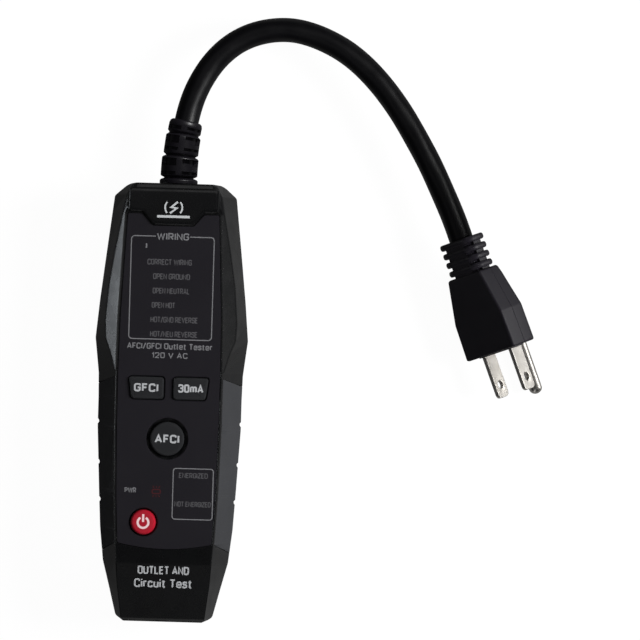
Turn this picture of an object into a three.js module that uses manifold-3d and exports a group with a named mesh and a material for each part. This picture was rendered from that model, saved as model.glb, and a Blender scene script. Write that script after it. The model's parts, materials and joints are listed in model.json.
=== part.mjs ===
// Hand-held outlet tester: a two-shell plastic case with four push buttons and indicator lamps,
// and a short flexible cord that ends in a moulded three-pin plug.
// Millimetres. +Z points out of the face, +Y runs towards the cord, and the origin is the centre
// of the case's flat back.
import * as THREE from 'three';
import { mergeVertices } from 'three/addons/utils/BufferGeometryUtils.js';
import Module from 'manifold-3d';

const wasm = await Module();
wasm.setup();

// ---------------------------------------------------------------- driving dimensions
const HALF_LENGTH = 79.8;
const FACE_Z = 34;
const PARTING_Z = 16;
const HALF_SEAM = 0.1;
const WALL = 2.2;
const FIT = 0.3;
const FAR = 100;

// Case outline, as pairs of [y, value]: half widths at the parting plane, at the edge of the face
// and at the outer edge of the upper bevel, then the heights of the face and of the back.
const SIDE_EDGE = [
  [-79.8, 16.6], [-78.2, 17.9], [-68.7, 20.3], [-58.5, 23], [-46.4, 24.35], [-33.3, 25.1],
  [-9.5, 26.3], [1.5, 26.3], [10.2, 26.5], [23, 28], [36.9, 26.75], [55.2, 24.7],
  [75.2, 22.4], [79.8, 17.2],
];
const FACE_EDGE = [[-79.8, 15.1], [-66, 16.8], [-51, 17.85], [-33.3, 18.7], [-9.5, 19.2],
  [11.5, 19.3], [31.5, 19], [69, 17.3], [79.8, 14]];
const BEVEL_EDGE = [[11.5, 19.9], [18.3, 21.9], [23, 23.8], [29.4, 24.1], [42.4, 23.1],
  [55.2, 21.1], [75.2, 17.4], [79.8, 15]];
const FACE_HEIGHT = [[-79.8, 29], [-58.5, 34], [69, 34], [75.2, 32.5], [79.8, 30]];
const BACK_HEIGHT = [[-79.8, 4], [-75.2, 0], [75.2, 0], [79.8, 4]];
const BACK_CORNER = { inset: 1.5, z: 5, flatInset: 6 };
const LOWER_RIDGE = 0.04;

// Raised hood at the cord end of the face.
const HOOD = { top: 35.2, base: 27, end: 77.6, shoulder: 69.2, tab: 64.5, slope: 74, lip: 33.2 };
HOOD.halfWidth = 16.3;
HOOD.tabShoulder = 11;
HOOD.tabHalf = 7.2;

// Printed label sheet in its recess.
const LABEL = { thickness: 0.5, margin: 0.8, low: -51, bow: 4, high: 68.4, gap: 0.2 };

// Indicator rows of the wiring display, and the three other lamps.
const ROW = { first: 51.1, pitch: 5.2, count: 6, halfWidth: 11, halfHeight: 1.5 };
const ROW_SPOTS = Array.from({ length: ROW.count }, (_, i) => [0, ROW.first - ROW.pitch * i]);
const LIVE_SPOT = [9.9, -26.1];
const DEAD_SPOT = [9.9, -36.5];
const POWER_LAMP_SPOT = [-3.4, -32.2];

// Push buttons.
const BUTTON = { top: 35, flangeLow: 29.5, flangeHigh: 31.3, flange: 0.8, slack: 0.5 };
const KEY = { inner: 1.75, outerTop: 14.5, outerLow: 13.4, low: 1.3, high: 9.3, corner: 1 };
const BREAKER_KEY = { x: 0, y: -13, radius: 6.2, recess: 7.5, recessZ: 33.2 };
const POWER_KEY = { x: -7.8, y: -43.4, radius: 4.55, recess: 5.15, recessZ: 33.2 };
const SWITCH = { half: 3, height: 3.5, well: 4.2, wellFloor: 25.6, stem: 3.4, stemLow: 26.9 };
SWITCH.stemHigh = 29.2;

// Circuit board and the parts on it.
const BOARD = { half: 15.5, low: -66.5, high: 61, z: 23, thickness: 1.6 };
BOARD.top = BOARD.z + BOARD.thickness;

// Battery, its bay and its door. The door swings about the inner edge of its tabs.
const BATTERY = { half: 13.25, low: -62.6, high: -14.1, bottom: 2.9, top: 20.4, corner: 2 };
const DOOR = { half: 14.2, low: -63.5, pivotY: -12, tongueHalf: 5, tongueLow: -70 };
DOOR.thickness = 2.2;
DOOR.tongue = 3;
DOOR.screwY = -66.5;

// Screws: four through the back, and the captive one in the battery door.
const SCREW_SPOTS = [[-12.5, 66], [12.5, 66], [-9.5, -72], [9.5, -72]];
const SCREW = { head: 5.4, headLow: 1, headHigh: 3.4, shank: 2.6, tip: 22, well: 6.4, hole: 3.4 };
const BOSS = { diameter: 8, floor: 3.7, pilotTop: 24 };

// Cord and its reliefs. The cord lies in a plane above the table.
const CORD_Z = 15;
const CORD_RADIUS = 4.5;
const CORD_GAP = 0.3;
const CORD_STEP = 19.7;
const CORD_BENDS = [20.9, 33.9, 35.5, 24.1, 16.5, 7.6, 4.5, 4.8];
const BOOT_BEND = 11;
const BOOT_LENGTH = 23.5;
const BOOT_X = 0.8;
const BOOT_RINGS = [[2.2, 14], [7, 13.5], [7, 12.8], [4.9, 12.2]];
const BOOT_GROOVE = { width: 0.8, diameter: 10.4 };
const END_GAP = 0.5;

// Three-pin plug, in its own frame: +X from blade to blade, +Y towards the ground pin, and +Z
// from the face back towards the cord.
const PLUG = { roll: 40, straight: 14, length: 31, rearY: -0.8, pocket: 8 };
const BLADE = { spacing: 12.7, width: 6.35, thickness: 1.5, length: 16.6, hole: 3, holeInset: 4.8 };
const PIN = { y: 11.9, diameter: 4.8, length: 19.6 };
const BRIDGE = { halfWidth: 9.4, halfHeight: 3.7, depth: 5, proud: 0.4 };
const RIB = { count: 4, first: 31.8, pitch: 3.4, thickness: 2.1, halfWidth: 7.8, halfHeight: 6 };
const CORE_HALF = 5.4;
PLUG.reliefEnd = RIB.first + RIB.pitch * (RIB.count - 1) + RIB.thickness;

// ---------------------------------------------------------------- solids
function solidOf(geometry) {
  const bare = geometry.clone();
  bare.deleteAttribute('normal');
  bare.deleteAttribute('uv');
  const merged = mergeVertices(bare, 1e-4);
  const vertProperties = Float32Array.from(merged.attributes.position.array);
  const triVerts = Uint32Array.from(merged.index.array);
  return new wasm.Manifold(new wasm.Mesh({ numProp: 3, vertProperties, triVerts }));
}

function geometryOf(solid) {
  const mesh = solid.getMesh();
  const geometry = new THREE.BufferGeometry();
  geometry.setAttribute('position', new THREE.BufferAttribute(mesh.vertProperties, 3));
  geometry.setIndex(new THREE.BufferAttribute(mesh.triVerts, 1));
  geometry.computeVertexNormals();
  return geometry;
}

function signedVolume(points, faces) {
  const cross = new THREE.Vector3();
  const volumes = faces.map(([a, b, c]) => points[a].dot(cross.crossVectors(points[b], points[c])));
  return volumes.reduce((sum, volume) => sum + volume, 0);
}

// A closed solid through rings of matching points, with flat ends.
function loft(rings) {
  const count = rings[0].length;
  const points = rings.flat();
  const faces = [];
  for (let ring = 0; ring < rings.length - 1; ring += 1) {
    for (let i = 0; i < count; i += 1) {
      const a = ring * count + i;
      const b = ring * count + ((i + 1) % count);
      faces.push([a, b, b + count], [a, b + count, a + count]);
    }
  }
  const last = (rings.length - 1) * count;
  for (let i = 1; i < count - 1; i += 1) {
    faces.push([0, i + 1, i], [last, last + i, last + i + 1]);
  }
  const outward = signedVolume(points, faces) > 0;
  const triVerts = Uint32Array.from(faces.flatMap((f) => (outward ? f : [f[0], f[2], f[1]])));
  const vertProperties = Float32Array.from(points.flatMap((p) => p.toArray()));
  return new wasm.Manifold(new wasm.Mesh({ numProp: 3, vertProperties, triVerts }));
}

function block(x0, x1, y0, y1, z0, z1) {
  const box = new THREE.BoxGeometry(x1 - x0, y1 - y0, z1 - z0);
  return solidOf(box.translate((x0 + x1) / 2, (y0 + y1) / 2, (z0 + z1) / 2));
}

function column(diameter, z0, z1, x = 0, y = 0, sides = 20) {
  const drum = new THREE.CylinderGeometry(diameter / 2, diameter / 2, z1 - z0, sides);
  return solidOf(drum.rotateX(Math.PI / 2).translate(x, y, (z0 + z1) / 2));
}

function rodAlongY(diameter, y0, y1, x, z, sides = 20) {
  const drum = new THREE.CylinderGeometry(diameter / 2, diameter / 2, y1 - y0, sides);
  return solidOf(drum.translate(x, (y0 + y1) / 2, z));
}

function prism(shape, z0, z1, curveSegments = 5) {
  const settings = { depth: z1 - z0, bevelEnabled: false, curveSegments };
  return solidOf(new THREE.ExtrudeGeometry(shape, settings).translate(0, 0, z0));
}

// A solid drawn as a side view in (y, z) and run across the part from x0 to x1.
function crossPrism(points, x0, x1) {
  const shape = new THREE.Shape(points.map(([y, z]) => new THREE.Vector2(y, z)));
  const slab = new THREE.ExtrudeGeometry(shape, { depth: x1 - x0, bevelEnabled: false });
  const turn = new THREE.Matrix4().makeBasis(
    new THREE.Vector3(0, 1, 0), new THREE.Vector3(0, 0, 1), new THREE.Vector3(1, 0, 0));
  return solidOf(slab.applyMatrix4(turn).translate(x0, 0, 0));
}

// A closed outline whose corners are rounded off.
function roundedOutline(corners, radius) {
  const shape = new THREE.Shape();
  corners.forEach(([x, y], i) => {
    const corner = new THREE.Vector2(x, y);
    const before = new THREE.Vector2(...corners.at(i - 1)).sub(corner).setLength(radius);
    const after = new THREE.Vector2(...corners[(i + 1) % corners.length]).sub(corner).setLength(radius);
    const start = corner.clone().add(before);
    const end = corner.clone().add(after);
    if (i === 0) shape.moveTo(start.x, start.y);
    else shape.lineTo(start.x, start.y);
    shape.quadraticCurveTo(x, y, end.x, end.y);
  });
  shape.closePath();
  return shape;
}

function circle(x, y, radius) {
  return new THREE.Shape().absarc(x, y, radius, 0, 2 * Math.PI, false);
}

function mirrored(halfOutline) {
  return [...halfOutline, ...halfOutline.map(([x, y]) => [-x, y]).reverse()];
}

function union(solids) {
  return solids.reduce((joined, solid) => joined.add(solid));
}

function cut(solid, tools) {
  return tools.reduce((rest, tool) => rest.subtract(tool), solid);
}

// ---------------------------------------------------------------- the scene graph
const tester = new THREE.Group();

function finish(color, roughness, metalness = 0) {
  return new THREE.MeshStandardMaterial({ color, roughness, metalness });
}

const FINISH = {
  shell: finish('#17181a', 0.42),
  label: finish('#1d1c20', 0.5),
  key: finish('#3b3d40', 0.55),
  red: finish('#b3122a', 0.45),
  rubber: finish('#2c2d30', 0.75),
  cord: finish('#121213', 0.5),
  plug: finish('#111113', 0.5),
  bridge: finish('#3a3a3d', 0.6),
  nickel: finish('#cfc9bd', 0.25, 1),
  steel: finish('#8d8f92', 0.35, 1),
  board: finish('#1f5a3a', 0.5),
  component: finish('#202124', 0.45),
  ceramic: finish('#d9d4c6', 0.8),
  can: finish('#2f3e6d', 0.4),
  fuse: finish('#cfd3d6', 0.3, 0.6),
  lamp: finish('#d8d6cc', 0.3),
  baffle: finish('#e4e2dc', 0.6),
  battery: finish('#3d4046', 0.4, 0.3),
  wireBlack: finish('#151516', 0.5),
  wireWhite: finish('#d8d8d4', 0.5),
  wireGreen: finish('#1f7a3e', 0.5),
  wireRed: finish('#b0202a', 0.5),
};

function add(name, solid, material, parent = tester) {
  const mesh = new THREE.Mesh(geometryOf(solid), material);
  mesh.name = name;
  parent.add(mesh);
}

// ---------------------------------------------------------------- case
function along(profile, y) {
  const next = profile.findIndex(([station]) => station >= y);
  if (next === 0) return profile[0][1];
  if (next < 0) return profile.at(-1)[1];
  const [y0, v0] = profile[next - 1];
  const [y1, v1] = profile[next];
  return v0 + ((v1 - v0) * (y - y0)) / (y1 - y0);
}

// One cross section of the case, moved in by side at the flanks and by depth at face and back.
function caseRing(y, side, depth) {
  const top = along(FACE_HEIGHT, y) - depth;
  const bottom = along(BACK_HEIGHT, y);
  const face = along(FACE_EDGE, y) - side;
  const wide = along(SIDE_EDGE, y) - side;
  const bevel = along(BEVEL_EDGE, y) - side;
  const ridge = y < BEVEL_EDGE[0][0]
    ? [face + LOWER_RIDGE * (wide - face), top + LOWER_RIDGE * (PARTING_Z - top)]
    : [bevel, top - (bevel - face)];
  const right = [
    [face, top],
    ridge,
    [wide, PARTING_Z],
    [wide - BACK_CORNER.inset, BACK_CORNER.z + bottom / 2],
    [wide - BACK_CORNER.flatInset, bottom + depth],
  ];
  return mirrored(right).map(([x, z]) => new THREE.Vector3(x, y, z));
}

function caseSolid(side = 0, depth = 0, endInset = 0) {
  const end = HALF_LENGTH - endInset;
  const stations = new Set([SIDE_EDGE, FACE_EDGE, BEVEL_EDGE, FACE_HEIGHT].flat().map(([y]) => y));
  const inside = [...stations].filter((y) => Math.abs(y) < end);
  const levels = [-end, ...inside, end].sort((a, b) => a - b);
  return loft(levels.map((y) => caseRing(y, side, depth)));
}

const body = caseSolid();
const cavity = caseSolid(WALL, WALL, WALL + FIT);
const core = caseSolid(WALL / 2, WALL / 2, WALL / 2);
const upperHalf = block(-FAR, FAR, -FAR, FAR, PARTING_Z + HALF_SEAM, FAR);
const lowerHalf = block(-FAR, FAR, -FAR, FAR, -FAR, PARTING_Z - HALF_SEAM);

function hood() {
  const outline = mirrored([
    [HOOD.halfWidth, HOOD.end], [HOOD.halfWidth, HOOD.shoulder],
    [HOOD.tabShoulder, HOOD.shoulder], [HOOD.tabHalf, HOOD.tab],
  ]);
  const raised = prism(new THREE.Shape(outline.map((p) => new THREE.Vector2(...p))), HOOD.base, HOOD.top);
  const sideView = [[HOOD.tab - 1, HOOD.base - 1], [HOOD.end + 1, HOOD.base - 1],
    [HOOD.end + 1, HOOD.lip], [HOOD.end, HOOD.lip], [HOOD.slope, HOOD.top], [HOOD.tab - 1, HOOD.top]];
  return raised.intersect(crossPrism(sideView, -FAR, FAR));
}

// The label's outline follows the edge of the face and steps round the hood's tab.
function labelOutline(grow = 0) {
  const half = (y) => along(FACE_EDGE, y) - LABEL.margin + grow;
  const high = LABEL.high + grow;
  const shape = new THREE.Shape();
  shape.moveTo(-half(LABEL.low), LABEL.low - grow);
  shape.quadraticCurveTo(0, LABEL.low - LABEL.bow - grow, half(LABEL.low), LABEL.low - grow);
  for (const y of [-33.3, -9.5, 11.5, 31.5]) shape.lineTo(half(y), y);
  shape.lineTo(half(high), high);
  shape.lineTo(HOOD.tabShoulder + LABEL.gap - grow, high);
  shape.lineTo(HOOD.tabHalf + LABEL.gap - grow, HOOD.tab - 2 * LABEL.gap + grow);
  shape.lineTo(-HOOD.tabHalf - LABEL.gap + grow, HOOD.tab - 2 * LABEL.gap + grow);
  shape.lineTo(-HOOD.tabShoulder - LABEL.gap + grow, high);
  shape.lineTo(-half(high), high);
  for (const y of [31.5, 11.5, -9.5, -33.3]) shape.lineTo(-half(y), y);
  shape.closePath();
  return shape;
}

// Rubber side grips: a layer of the flank inside a side-view outline.
const GRIP_DEPTH = 1.3;
const GRIP_INNER_X = 17.3;
function gripOutline(grow) {
  const low = -53 - grow;
  const high = 5 + grow;
  return [[high + 4, 32.6 + grow], [high + 1.2, PARTING_Z], [high, 7 - grow],
    [low, 7 - grow], [low - 1.6, PARTING_Z], [low + 2, 32.6 + grow]];
}

function gripZone(side, grow) {
  const [x0, x1] = side > 0 ? [GRIP_INNER_X, FAR] : [-FAR, -GRIP_INNER_X];
  return crossPrism(gripOutline(grow), x0, x1);
}

const gripRecess = union([1, -1].map((side) => gripZone(side, FIT)))
  .subtract(caseSolid(GRIP_DEPTH + FIT));

function grip(side) {
  const layer = body.subtract(caseSolid(GRIP_DEPTH));
  return layer.intersect(gripZone(side, 0));
}

function keyOutline(side, grow) {
  const corners = [[KEY.inner - grow, KEY.high + grow], [KEY.outerTop + grow, KEY.high + grow],
    [KEY.outerLow + grow, KEY.low - grow], [KEY.inner - grow, KEY.low - grow]];
  return roundedOutline(corners.map(([x, y]) => [side * x, y]), KEY.corner + grow);
}

const KEY_X = (KEY.inner + KEY.outerTop) / 2;
const KEY_Y = (KEY.low + KEY.high) / 2;
const BUTTONS = [
  { name: 'gfci', spot: [-KEY_X, KEY_Y], outline: (grow) => keyOutline(-1, grow), look: FINISH.key },
  { name: 'current', spot: [KEY_X, KEY_Y], outline: (grow) => keyOutline(1, grow), look: FINISH.key },
  {
    name: 'breaker',
    spot: [BREAKER_KEY.x, BREAKER_KEY.y],
    outline: (grow) => circle(BREAKER_KEY.x, BREAKER_KEY.y, BREAKER_KEY.radius + grow),
    look: FINISH.key,
  },
  {
    name: 'power',
    spot: [POWER_KEY.x, POWER_KEY.y],
    outline: (grow) => circle(POWER_KEY.x, POWER_KEY.y, POWER_KEY.radius + grow),
    look: FINISH.red,
  },
];

function ringRecess({ x, y, recess, recessZ }) {
  return column(2 * recess, recessZ, FAR, x, y, 32);
}

function lampWindows(z0, z1) {
  const rows = ROW_SPOTS.map(([, y]) => block(
    -ROW.halfWidth, ROW.halfWidth, y - ROW.halfHeight, y + ROW.halfHeight, z0, z1));
  const words = [LIVE_SPOT, DEAD_SPOT].map(([x, y]) => block(x - 5.5, x + 5.5, y - 1.2, y + 1.2, z0, z1));
  return [...rows, ...words, column(4.5, z0, z1, ...POWER_LAMP_SPOT)];
}

const bootHole = rodAlongY(12, HALF_LENGTH - 8, HALF_LENGTH + 8, BOOT_X, CORD_Z);

function frontCover() {
  const innerFace = FACE_Z - WALL;
  const bosses = SCREW_SPOTS.map(([x, y]) => column(BOSS.diameter - 1, PARTING_Z + HALF_SEAM, FACE_Z, x, y));
  const posts = [[-13.5, 58], [13.5, 58], [-13, -60], [13, -60]]
    .map(([x, y]) => column(4, BOARD.top, innerFace + 1, x, y, 12));
  const pilots = SCREW_SPOTS.map(([x, y]) => column(SCREW.hole, 0, BOSS.pilotTop, x, y, 12));
  const shell = body.add(hood()).intersect(upperHalf).subtract(cavity);
  const holes = BUTTONS.map(({ outline }) => prism(outline(FIT), BOARD.top, FAR));
  return cut(shell.add(union([...bosses, ...posts]).intersect(core)), [
    ...pilots,
    ...holes,
    ...lampWindows(BOARD.top, FAR),
    prism(labelOutline(LABEL.gap), FACE_Z - LABEL.thickness, FAR, 12),
    ringRecess(BREAKER_KEY),
    ringRecess(POWER_KEY),
    gripRecess,
    bootHole,
  ]);
}

function labelSheet() {
  const openings = BUTTONS.map(({ outline }) => prism(outline(BUTTON.slack), 0, FAR));
  const sheet = prism(labelOutline(), FACE_Z - LABEL.thickness, FACE_Z, 12);
  return cut(sheet, [...openings, ringRecess({ ...BREAKER_KEY, recessZ: 0 }),
    ringRecess({ ...POWER_KEY, recessZ: 0 })]);
}

function rearCover() {
  const bosses = SCREW_SPOTS.map(([x, y]) => column(BOSS.diameter, 0, PARTING_Z - HALF_SEAM, x, y));
  const wells = SCREW_SPOTS.map(([x, y]) => column(SCREW.well, -1, BOSS.floor, x, y));
  const bores = SCREW_SPOTS.map(([x, y]) => column(SCREW.hole, -1, FAR, x, y, 12));
  const bayWalls = [1, -1].map((side) => {
    const edges = [side * (DOOR.half + 0.4), side * (DOOR.half + 1.8)].sort((a, b) => a - b);
    return block(...edges, BATTERY.low, DOOR.pivotY + 1, 1, BOARD.z);
  });
  const partition = block(-18, 18, -6.3, -4.9, 1, 20)
    .intersect(core);
  const supports = [-13.5, 13.5].map((x) => column(4, 1, BOARD.z, x, 58, 12));
  const doorSeat = block(-6.8, 6.8, -71.2, DOOR.low - 0.2, 1, 5);
  const doorBoss = column(6.4, 1, 11, 0, DOOR.screwY, 16);
  const shell = body.intersect(lowerHalf).subtract(cavity);
  const fittings = union([...bosses, doorSeat, doorBoss]).intersect(core);
  const opening = block(-DOOR.half - FIT, DOOR.half + FIT, DOOR.low - FIT, DOOR.pivotY, -1, 2.6);
  const tongueSeat = block(-DOOR.tongueHalf - FIT, DOOR.tongueHalf + FIT,
    DOOR.tongueLow - FIT, DOOR.low + 1, -1, DOOR.tongue + FIT);
  return cut(shell.add(fittings).add(union([...bayWalls, partition, ...supports])), [
    ...wells, ...bores, opening, tongueSeat, gripRecess, bootHole,
    column(3.6, -1, 9.5, 0, DOOR.screwY, 16),
  ]);
}

add('front_cover', frontCover(), FINISH.shell);
add('rear_cover', rearCover(), FINISH.shell);
add('label_overlay', labelSheet(), FINISH.label);
add('grip_left', grip(-1), FINISH.rubber);
add('grip_right', grip(1), FINISH.rubber);

// ---------------------------------------------------------------- buttons and their switches
for (const { name, spot, outline, look } of BUTTONS) {
  const cap = prism(outline(0), BUTTON.flangeHigh, BUTTON.top);
  const flange = prism(outline(BUTTON.flange), BUTTON.flangeLow, BUTTON.flangeHigh);
  add(`${name}_button`, cap.add(flange), look);
  const [x, y] = spot;
  const housing = block(x - SWITCH.half, x + SWITCH.half, y - SWITCH.half, y + SWITCH.half,
    BOARD.top, BOARD.top + SWITCH.height);
  add(`${name}_switch`, housing.subtract(column(SWITCH.well, SWITCH.wellFloor, FAR, x, y, 16)),
    FINISH.component);
  add(`${name}_plunger`, column(SWITCH.stem, SWITCH.stemLow, SWITCH.stemHigh, x, y, 16), FINISH.lamp);
}

// ---------------------------------------------------------------- circuit board
function lamp([x, y]) {
  const base = block(x - 1.6, x + 1.6, y - 0.9, y + 0.9, BOARD.top, BOARD.top + 0.7);
  return base.add(column(1.5, BOARD.top + 0.4, BOARD.top + 1.3, x, y, 12));
}

function baffle() {
  const tall = block(-ROW.halfWidth - 1.5, ROW.halfWidth + 1.5, ROW_SPOTS.at(-1)[1] - 2.7,
    ROW_SPOTS[0][1] + 2.7, BOARD.top, FACE_Z - WALL - FIT);
  return cut(tall, ROW_SPOTS.map(([, y]) => block(
    -ROW.halfWidth, ROW.halfWidth, y - 1.9, y + 1.9, 0, FAR)));
}

const boardCorners = mirrored([[BOARD.half, BOARD.high], [BOARD.half, BOARD.low]]);
add('circuit_board', prism(roundedOutline(boardCorners, 1.5), BOARD.z, BOARD.top, 3), FINISH.board);
add('led_baffle', baffle(), FINISH.baffle);
ROW_SPOTS.forEach((spot, i) => add(`wiring_led_${i + 1}`, lamp(spot), FINISH.lamp));
add('energized_led', lamp(LIVE_SPOT), FINISH.lamp);
add('not_energized_led', lamp(DEAD_SPOT), FINISH.lamp);
add('power_led', lamp(POWER_LAMP_SPOT), FINISH.lamp);
add('test_resistor', block(-14, -5, 16, 38, BOARD.z - 9, BOARD.z), FINISH.ceramic);
add('triac', block(-14, -4, 2, 6.5, BOARD.z - 15, BOARD.z), FINISH.component);
add('fuse', rodAlongY(5.2, 12, 32, 8.5, BOARD.z - 2.8, 12), FINISH.fuse);
add('capacitor', column(10, BOARD.z - 12, BOARD.z, 6, 42), FINISH.can);
add('microcontroller', block(5, 12, -55.5, -48.5, BOARD.top, BOARD.top + 1.4), FINISH.component);

// ---------------------------------------------------------------- battery and its door
function wire(points, diameter) {
  const path = new THREE.CatmullRomCurve3(points.map((p) => new THREE.Vector3(...p)));
  const profile = new THREE.Shape().absarc(0, 0, diameter / 2, 0, 2 * Math.PI, false);
  const settings = { extrudePath: path, steps: 10, curveSegments: 4, bevelEnabled: false };
  return solidOf(new THREE.ExtrudeGeometry(profile, settings));
}

const TERMINAL = { x: 6.4, z: 11.6, diameter: 7, length: 3 };

function battery() {
  const corners = mirrored([[BATTERY.half, BATTERY.top], [BATTERY.half, BATTERY.bottom]]);
  const section = roundedOutline(corners, BATTERY.corner);
  const slab = new THREE.ExtrudeGeometry(section,
    { depth: BATTERY.high - BATTERY.low, bevelEnabled: false, curveSegments: 3 });
  const can = solidOf(slab.rotateX(Math.PI / 2).translate(0, BATTERY.high, 0));
  return union([can, ...[1, -1].map((side) => rodAlongY(TERMINAL.diameter, BATTERY.high - 1,
    BATTERY.high + TERMINAL.length, side * TERMINAL.x, TERMINAL.z, 16))]);
}

function batterySnap() {
  const near = BATTERY.high + 0.4;
  const pockets = [1, -1].map((side) => rodAlongY(TERMINAL.diameter + 0.8, near - 1,
    BATTERY.high + TERMINAL.length + 0.4, side * TERMINAL.x, TERMINAL.z, 16));
  return cut(block(-12.5, 12.5, near, near + 4.4, 5.7, 17.5), pockets);
}

function batteryDoor() {
  const plate = crossPrism([[DOOR.low, 0], [DOOR.pivotY - 1.6, 0],
    [DOOR.pivotY - FIT, DOOR.thickness], [DOOR.low, DOOR.thickness]], -DOOR.half, DOOR.half);
  const tongue = block(-DOOR.tongueHalf, DOOR.tongueHalf, DOOR.tongueLow, DOOR.low + 0.5, 0, DOOR.tongue);
  const tabView = [[DOOR.pivotY - 0.9, 1.5], [DOOR.pivotY - 0.4, 1.5], [DOOR.pivotY - 0.4, 2.5],
    [DOOR.pivotY + 3, 2.5], [DOOR.pivotY + 3, 3.9], [DOOR.pivotY - 0.9, 3.9]];
  const tabs = [[-11, -6], [6, 11]].map(([x0, x1]) => crossPrism(tabView, x0, x1));
  return cut(union([plate, tongue, ...tabs]), [
    column(SCREW.well, -1, 1.7, 0, DOOR.screwY),
    column(SCREW.hole, -1, FAR, 0, DOOR.screwY, 12),
  ]);
}

function screw(x, y, headLow, headHigh, tip) {
  const drive = [block(x - 1.5, x + 1.5, y - 0.35, y + 0.35, -1, headLow + 1),
    block(x - 0.35, x + 0.35, y - 1.5, y + 1.5, -1, headLow + 1)];
  const head = column(SCREW.head, headLow, headHigh, x, y, 16);
  return cut(head.add(column(SCREW.shank, headHigh - 0.5, tip, x, y, 12)), drive);
}

add('battery_9v', battery(), FINISH.battery);
add('battery_snap', batterySnap(), FINISH.component);
for (const [name, x, look] of [['red', -6.4, FINISH.wireRed], ['black', 6.4, FINISH.wireBlack]]) {
  const path = [[x, -8.3, 12.5], [x, -7.8, 16], [x, -7.8, 20], [x, -7.8, 22.6]];
  add(`battery_lead_${name}`, wire(path, 1.4), look);
}
add('battery_door', batteryDoor(), FINISH.shell);
add('door_screw', screw(0, DOOR.screwY, 0.2, 1.4, 8), FINISH.steel);
SCREW_SPOTS.forEach(([x, y], i) => add(`case_screw_${i + 1}`,
  screw(x, y, SCREW.headLow, SCREW.headHigh, SCREW.tip), FINISH.steel));

// ---------------------------------------------------------------- cord and its case relief
const radians = THREE.MathUtils.degToRad;

// Walks an arc from a start point: position and heading after the given distance.
function walk({ x, y, heading }, distance, turn) {
  const angle = heading - turn / 2;
  const chord = turn === 0 ? distance : (2 * distance * Math.sin(turn / 2)) / turn;
  return { x: x + chord * Math.cos(angle), y: y + chord * Math.sin(angle), heading: heading - turn };
}

// A ring of points square to the path, round or stretched.
function pathRing({ x, y, heading }, radius, sides = 16) {
  return Array.from({ length: sides }, (_, i) => {
    const turn = (2 * Math.PI * i) / sides;
    const across = radius * Math.cos(turn);
    return new THREE.Vector3(x + across * Math.sin(heading), y - across * Math.cos(heading),
      CORD_Z + radius * Math.sin(turn));
  });
}

const bootStart = { x: BOOT_X, y: HALF_LENGTH, heading: Math.PI / 2 };
const bootTurn = (distance) => (radians(BOOT_BEND) * Math.max(distance, 0)) / BOOT_LENGTH;
const bootAt = (distance) => walk(bootStart, distance, bootTurn(distance));

function caseRelief() {
  const steps = [[-7, 7], [-2.8, 7], [-2.75, 5.7], [FIT, 5.7]];
  let distance = FIT;
  for (const [length, diameter] of BOOT_RINGS) {
    const start = distance === FIT ? distance + 0.05 : distance + BOOT_GROOVE.width;
    if (start > distance + 0.05) steps.push([start - 0.05, BOOT_GROOVE.diameter / 2]);
    distance += length + (distance === FIT ? 0 : BOOT_GROOVE.width);
    steps.push([start, diameter / 2], [distance, diameter / 2]);
    steps.push([distance + 0.05, BOOT_GROOVE.diameter / 2]);
  }
  return loft(steps.map(([at, radius]) => pathRing(bootAt(at), radius)));
}

// A cord piece has round ends, so that it can turn against the next one.
function cordPiece(start, bend) {
  const turn = radians(bend);
  const reach = CORD_RADIUS + CORD_GAP / 2;
  const cap = [12, 35, 60, 90].map(radians);
  const near = cap.map((angle) => [reach - CORD_RADIUS * Math.cos(angle), CORD_RADIUS * Math.sin(angle)]);
  const middle = [[CORD_STEP / 2, CORD_RADIUS]];
  const far = [...near].reverse().map(([at, radius]) => [CORD_STEP - at, radius]);
  const rings = [...near, ...middle, ...far];
  return loft(rings.map(([at, radius]) => pathRing(walk(start, at, (turn * at) / CORD_STEP), radius, 12)));
}

add('case_strain_relief', caseRelief(), FINISH.plug);
const cordStart = walk(bootAt(BOOT_LENGTH + FIT), END_GAP, 0);
let cordEnd = cordStart;
CORD_BENDS.forEach((bend, i) => {
  add(`cord_${i + 1}`, cordPiece(cordEnd, bend), FINISH.cord);
  cordEnd = walk(cordEnd, CORD_STEP, radians(bend));
});

const wireEnds = [['hot', -3.2, -6, FINISH.wireBlack], ['neutral', 3.2, 6, FINISH.wireWhite],
  ['ground', 0, 0, FINISH.wireGreen]];
for (const [name, x0, x1, look] of wireEnds) {
  const path = [[x0, 71.6, CORD_Z], [x0, 68, CORD_Z], [x1, 60, CORD_Z + 1], [x1, 57, BOARD.z - 3.5],
    [x1, 57, BOARD.z - 0.5]];
  add(`wire_${name}`, wire(path, 2.4), look);
}

// ---------------------------------------------------------------- plug
const plug = new THREE.Group();
const forward = new THREE.Vector3(Math.cos(cordEnd.heading), Math.sin(cordEnd.heading), 0);
const upward = new THREE.Vector3(0, 0, 1);
const sideways = new THREE.Vector3().crossVectors(upward, forward);
const roll = radians(PLUG.roll);
const bladeAxis = sideways.clone().multiplyScalar(Math.cos(roll)).addScaledVector(upward, Math.sin(roll));
const pinAxis = sideways.clone().multiplyScalar(Math.sin(roll)).addScaledVector(upward, -Math.cos(roll));
plug.quaternion.setFromRotationMatrix(
  new THREE.Matrix4().makeBasis(bladeAxis, pinAxis, forward.clone().negate()));
plug.position.set(cordEnd.x, cordEnd.y, CORD_Z)
  .addScaledVector(forward, PLUG.reliefEnd + END_GAP)
  .addScaledVector(pinAxis, -PLUG.rearY);
tester.add(plug);

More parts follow.
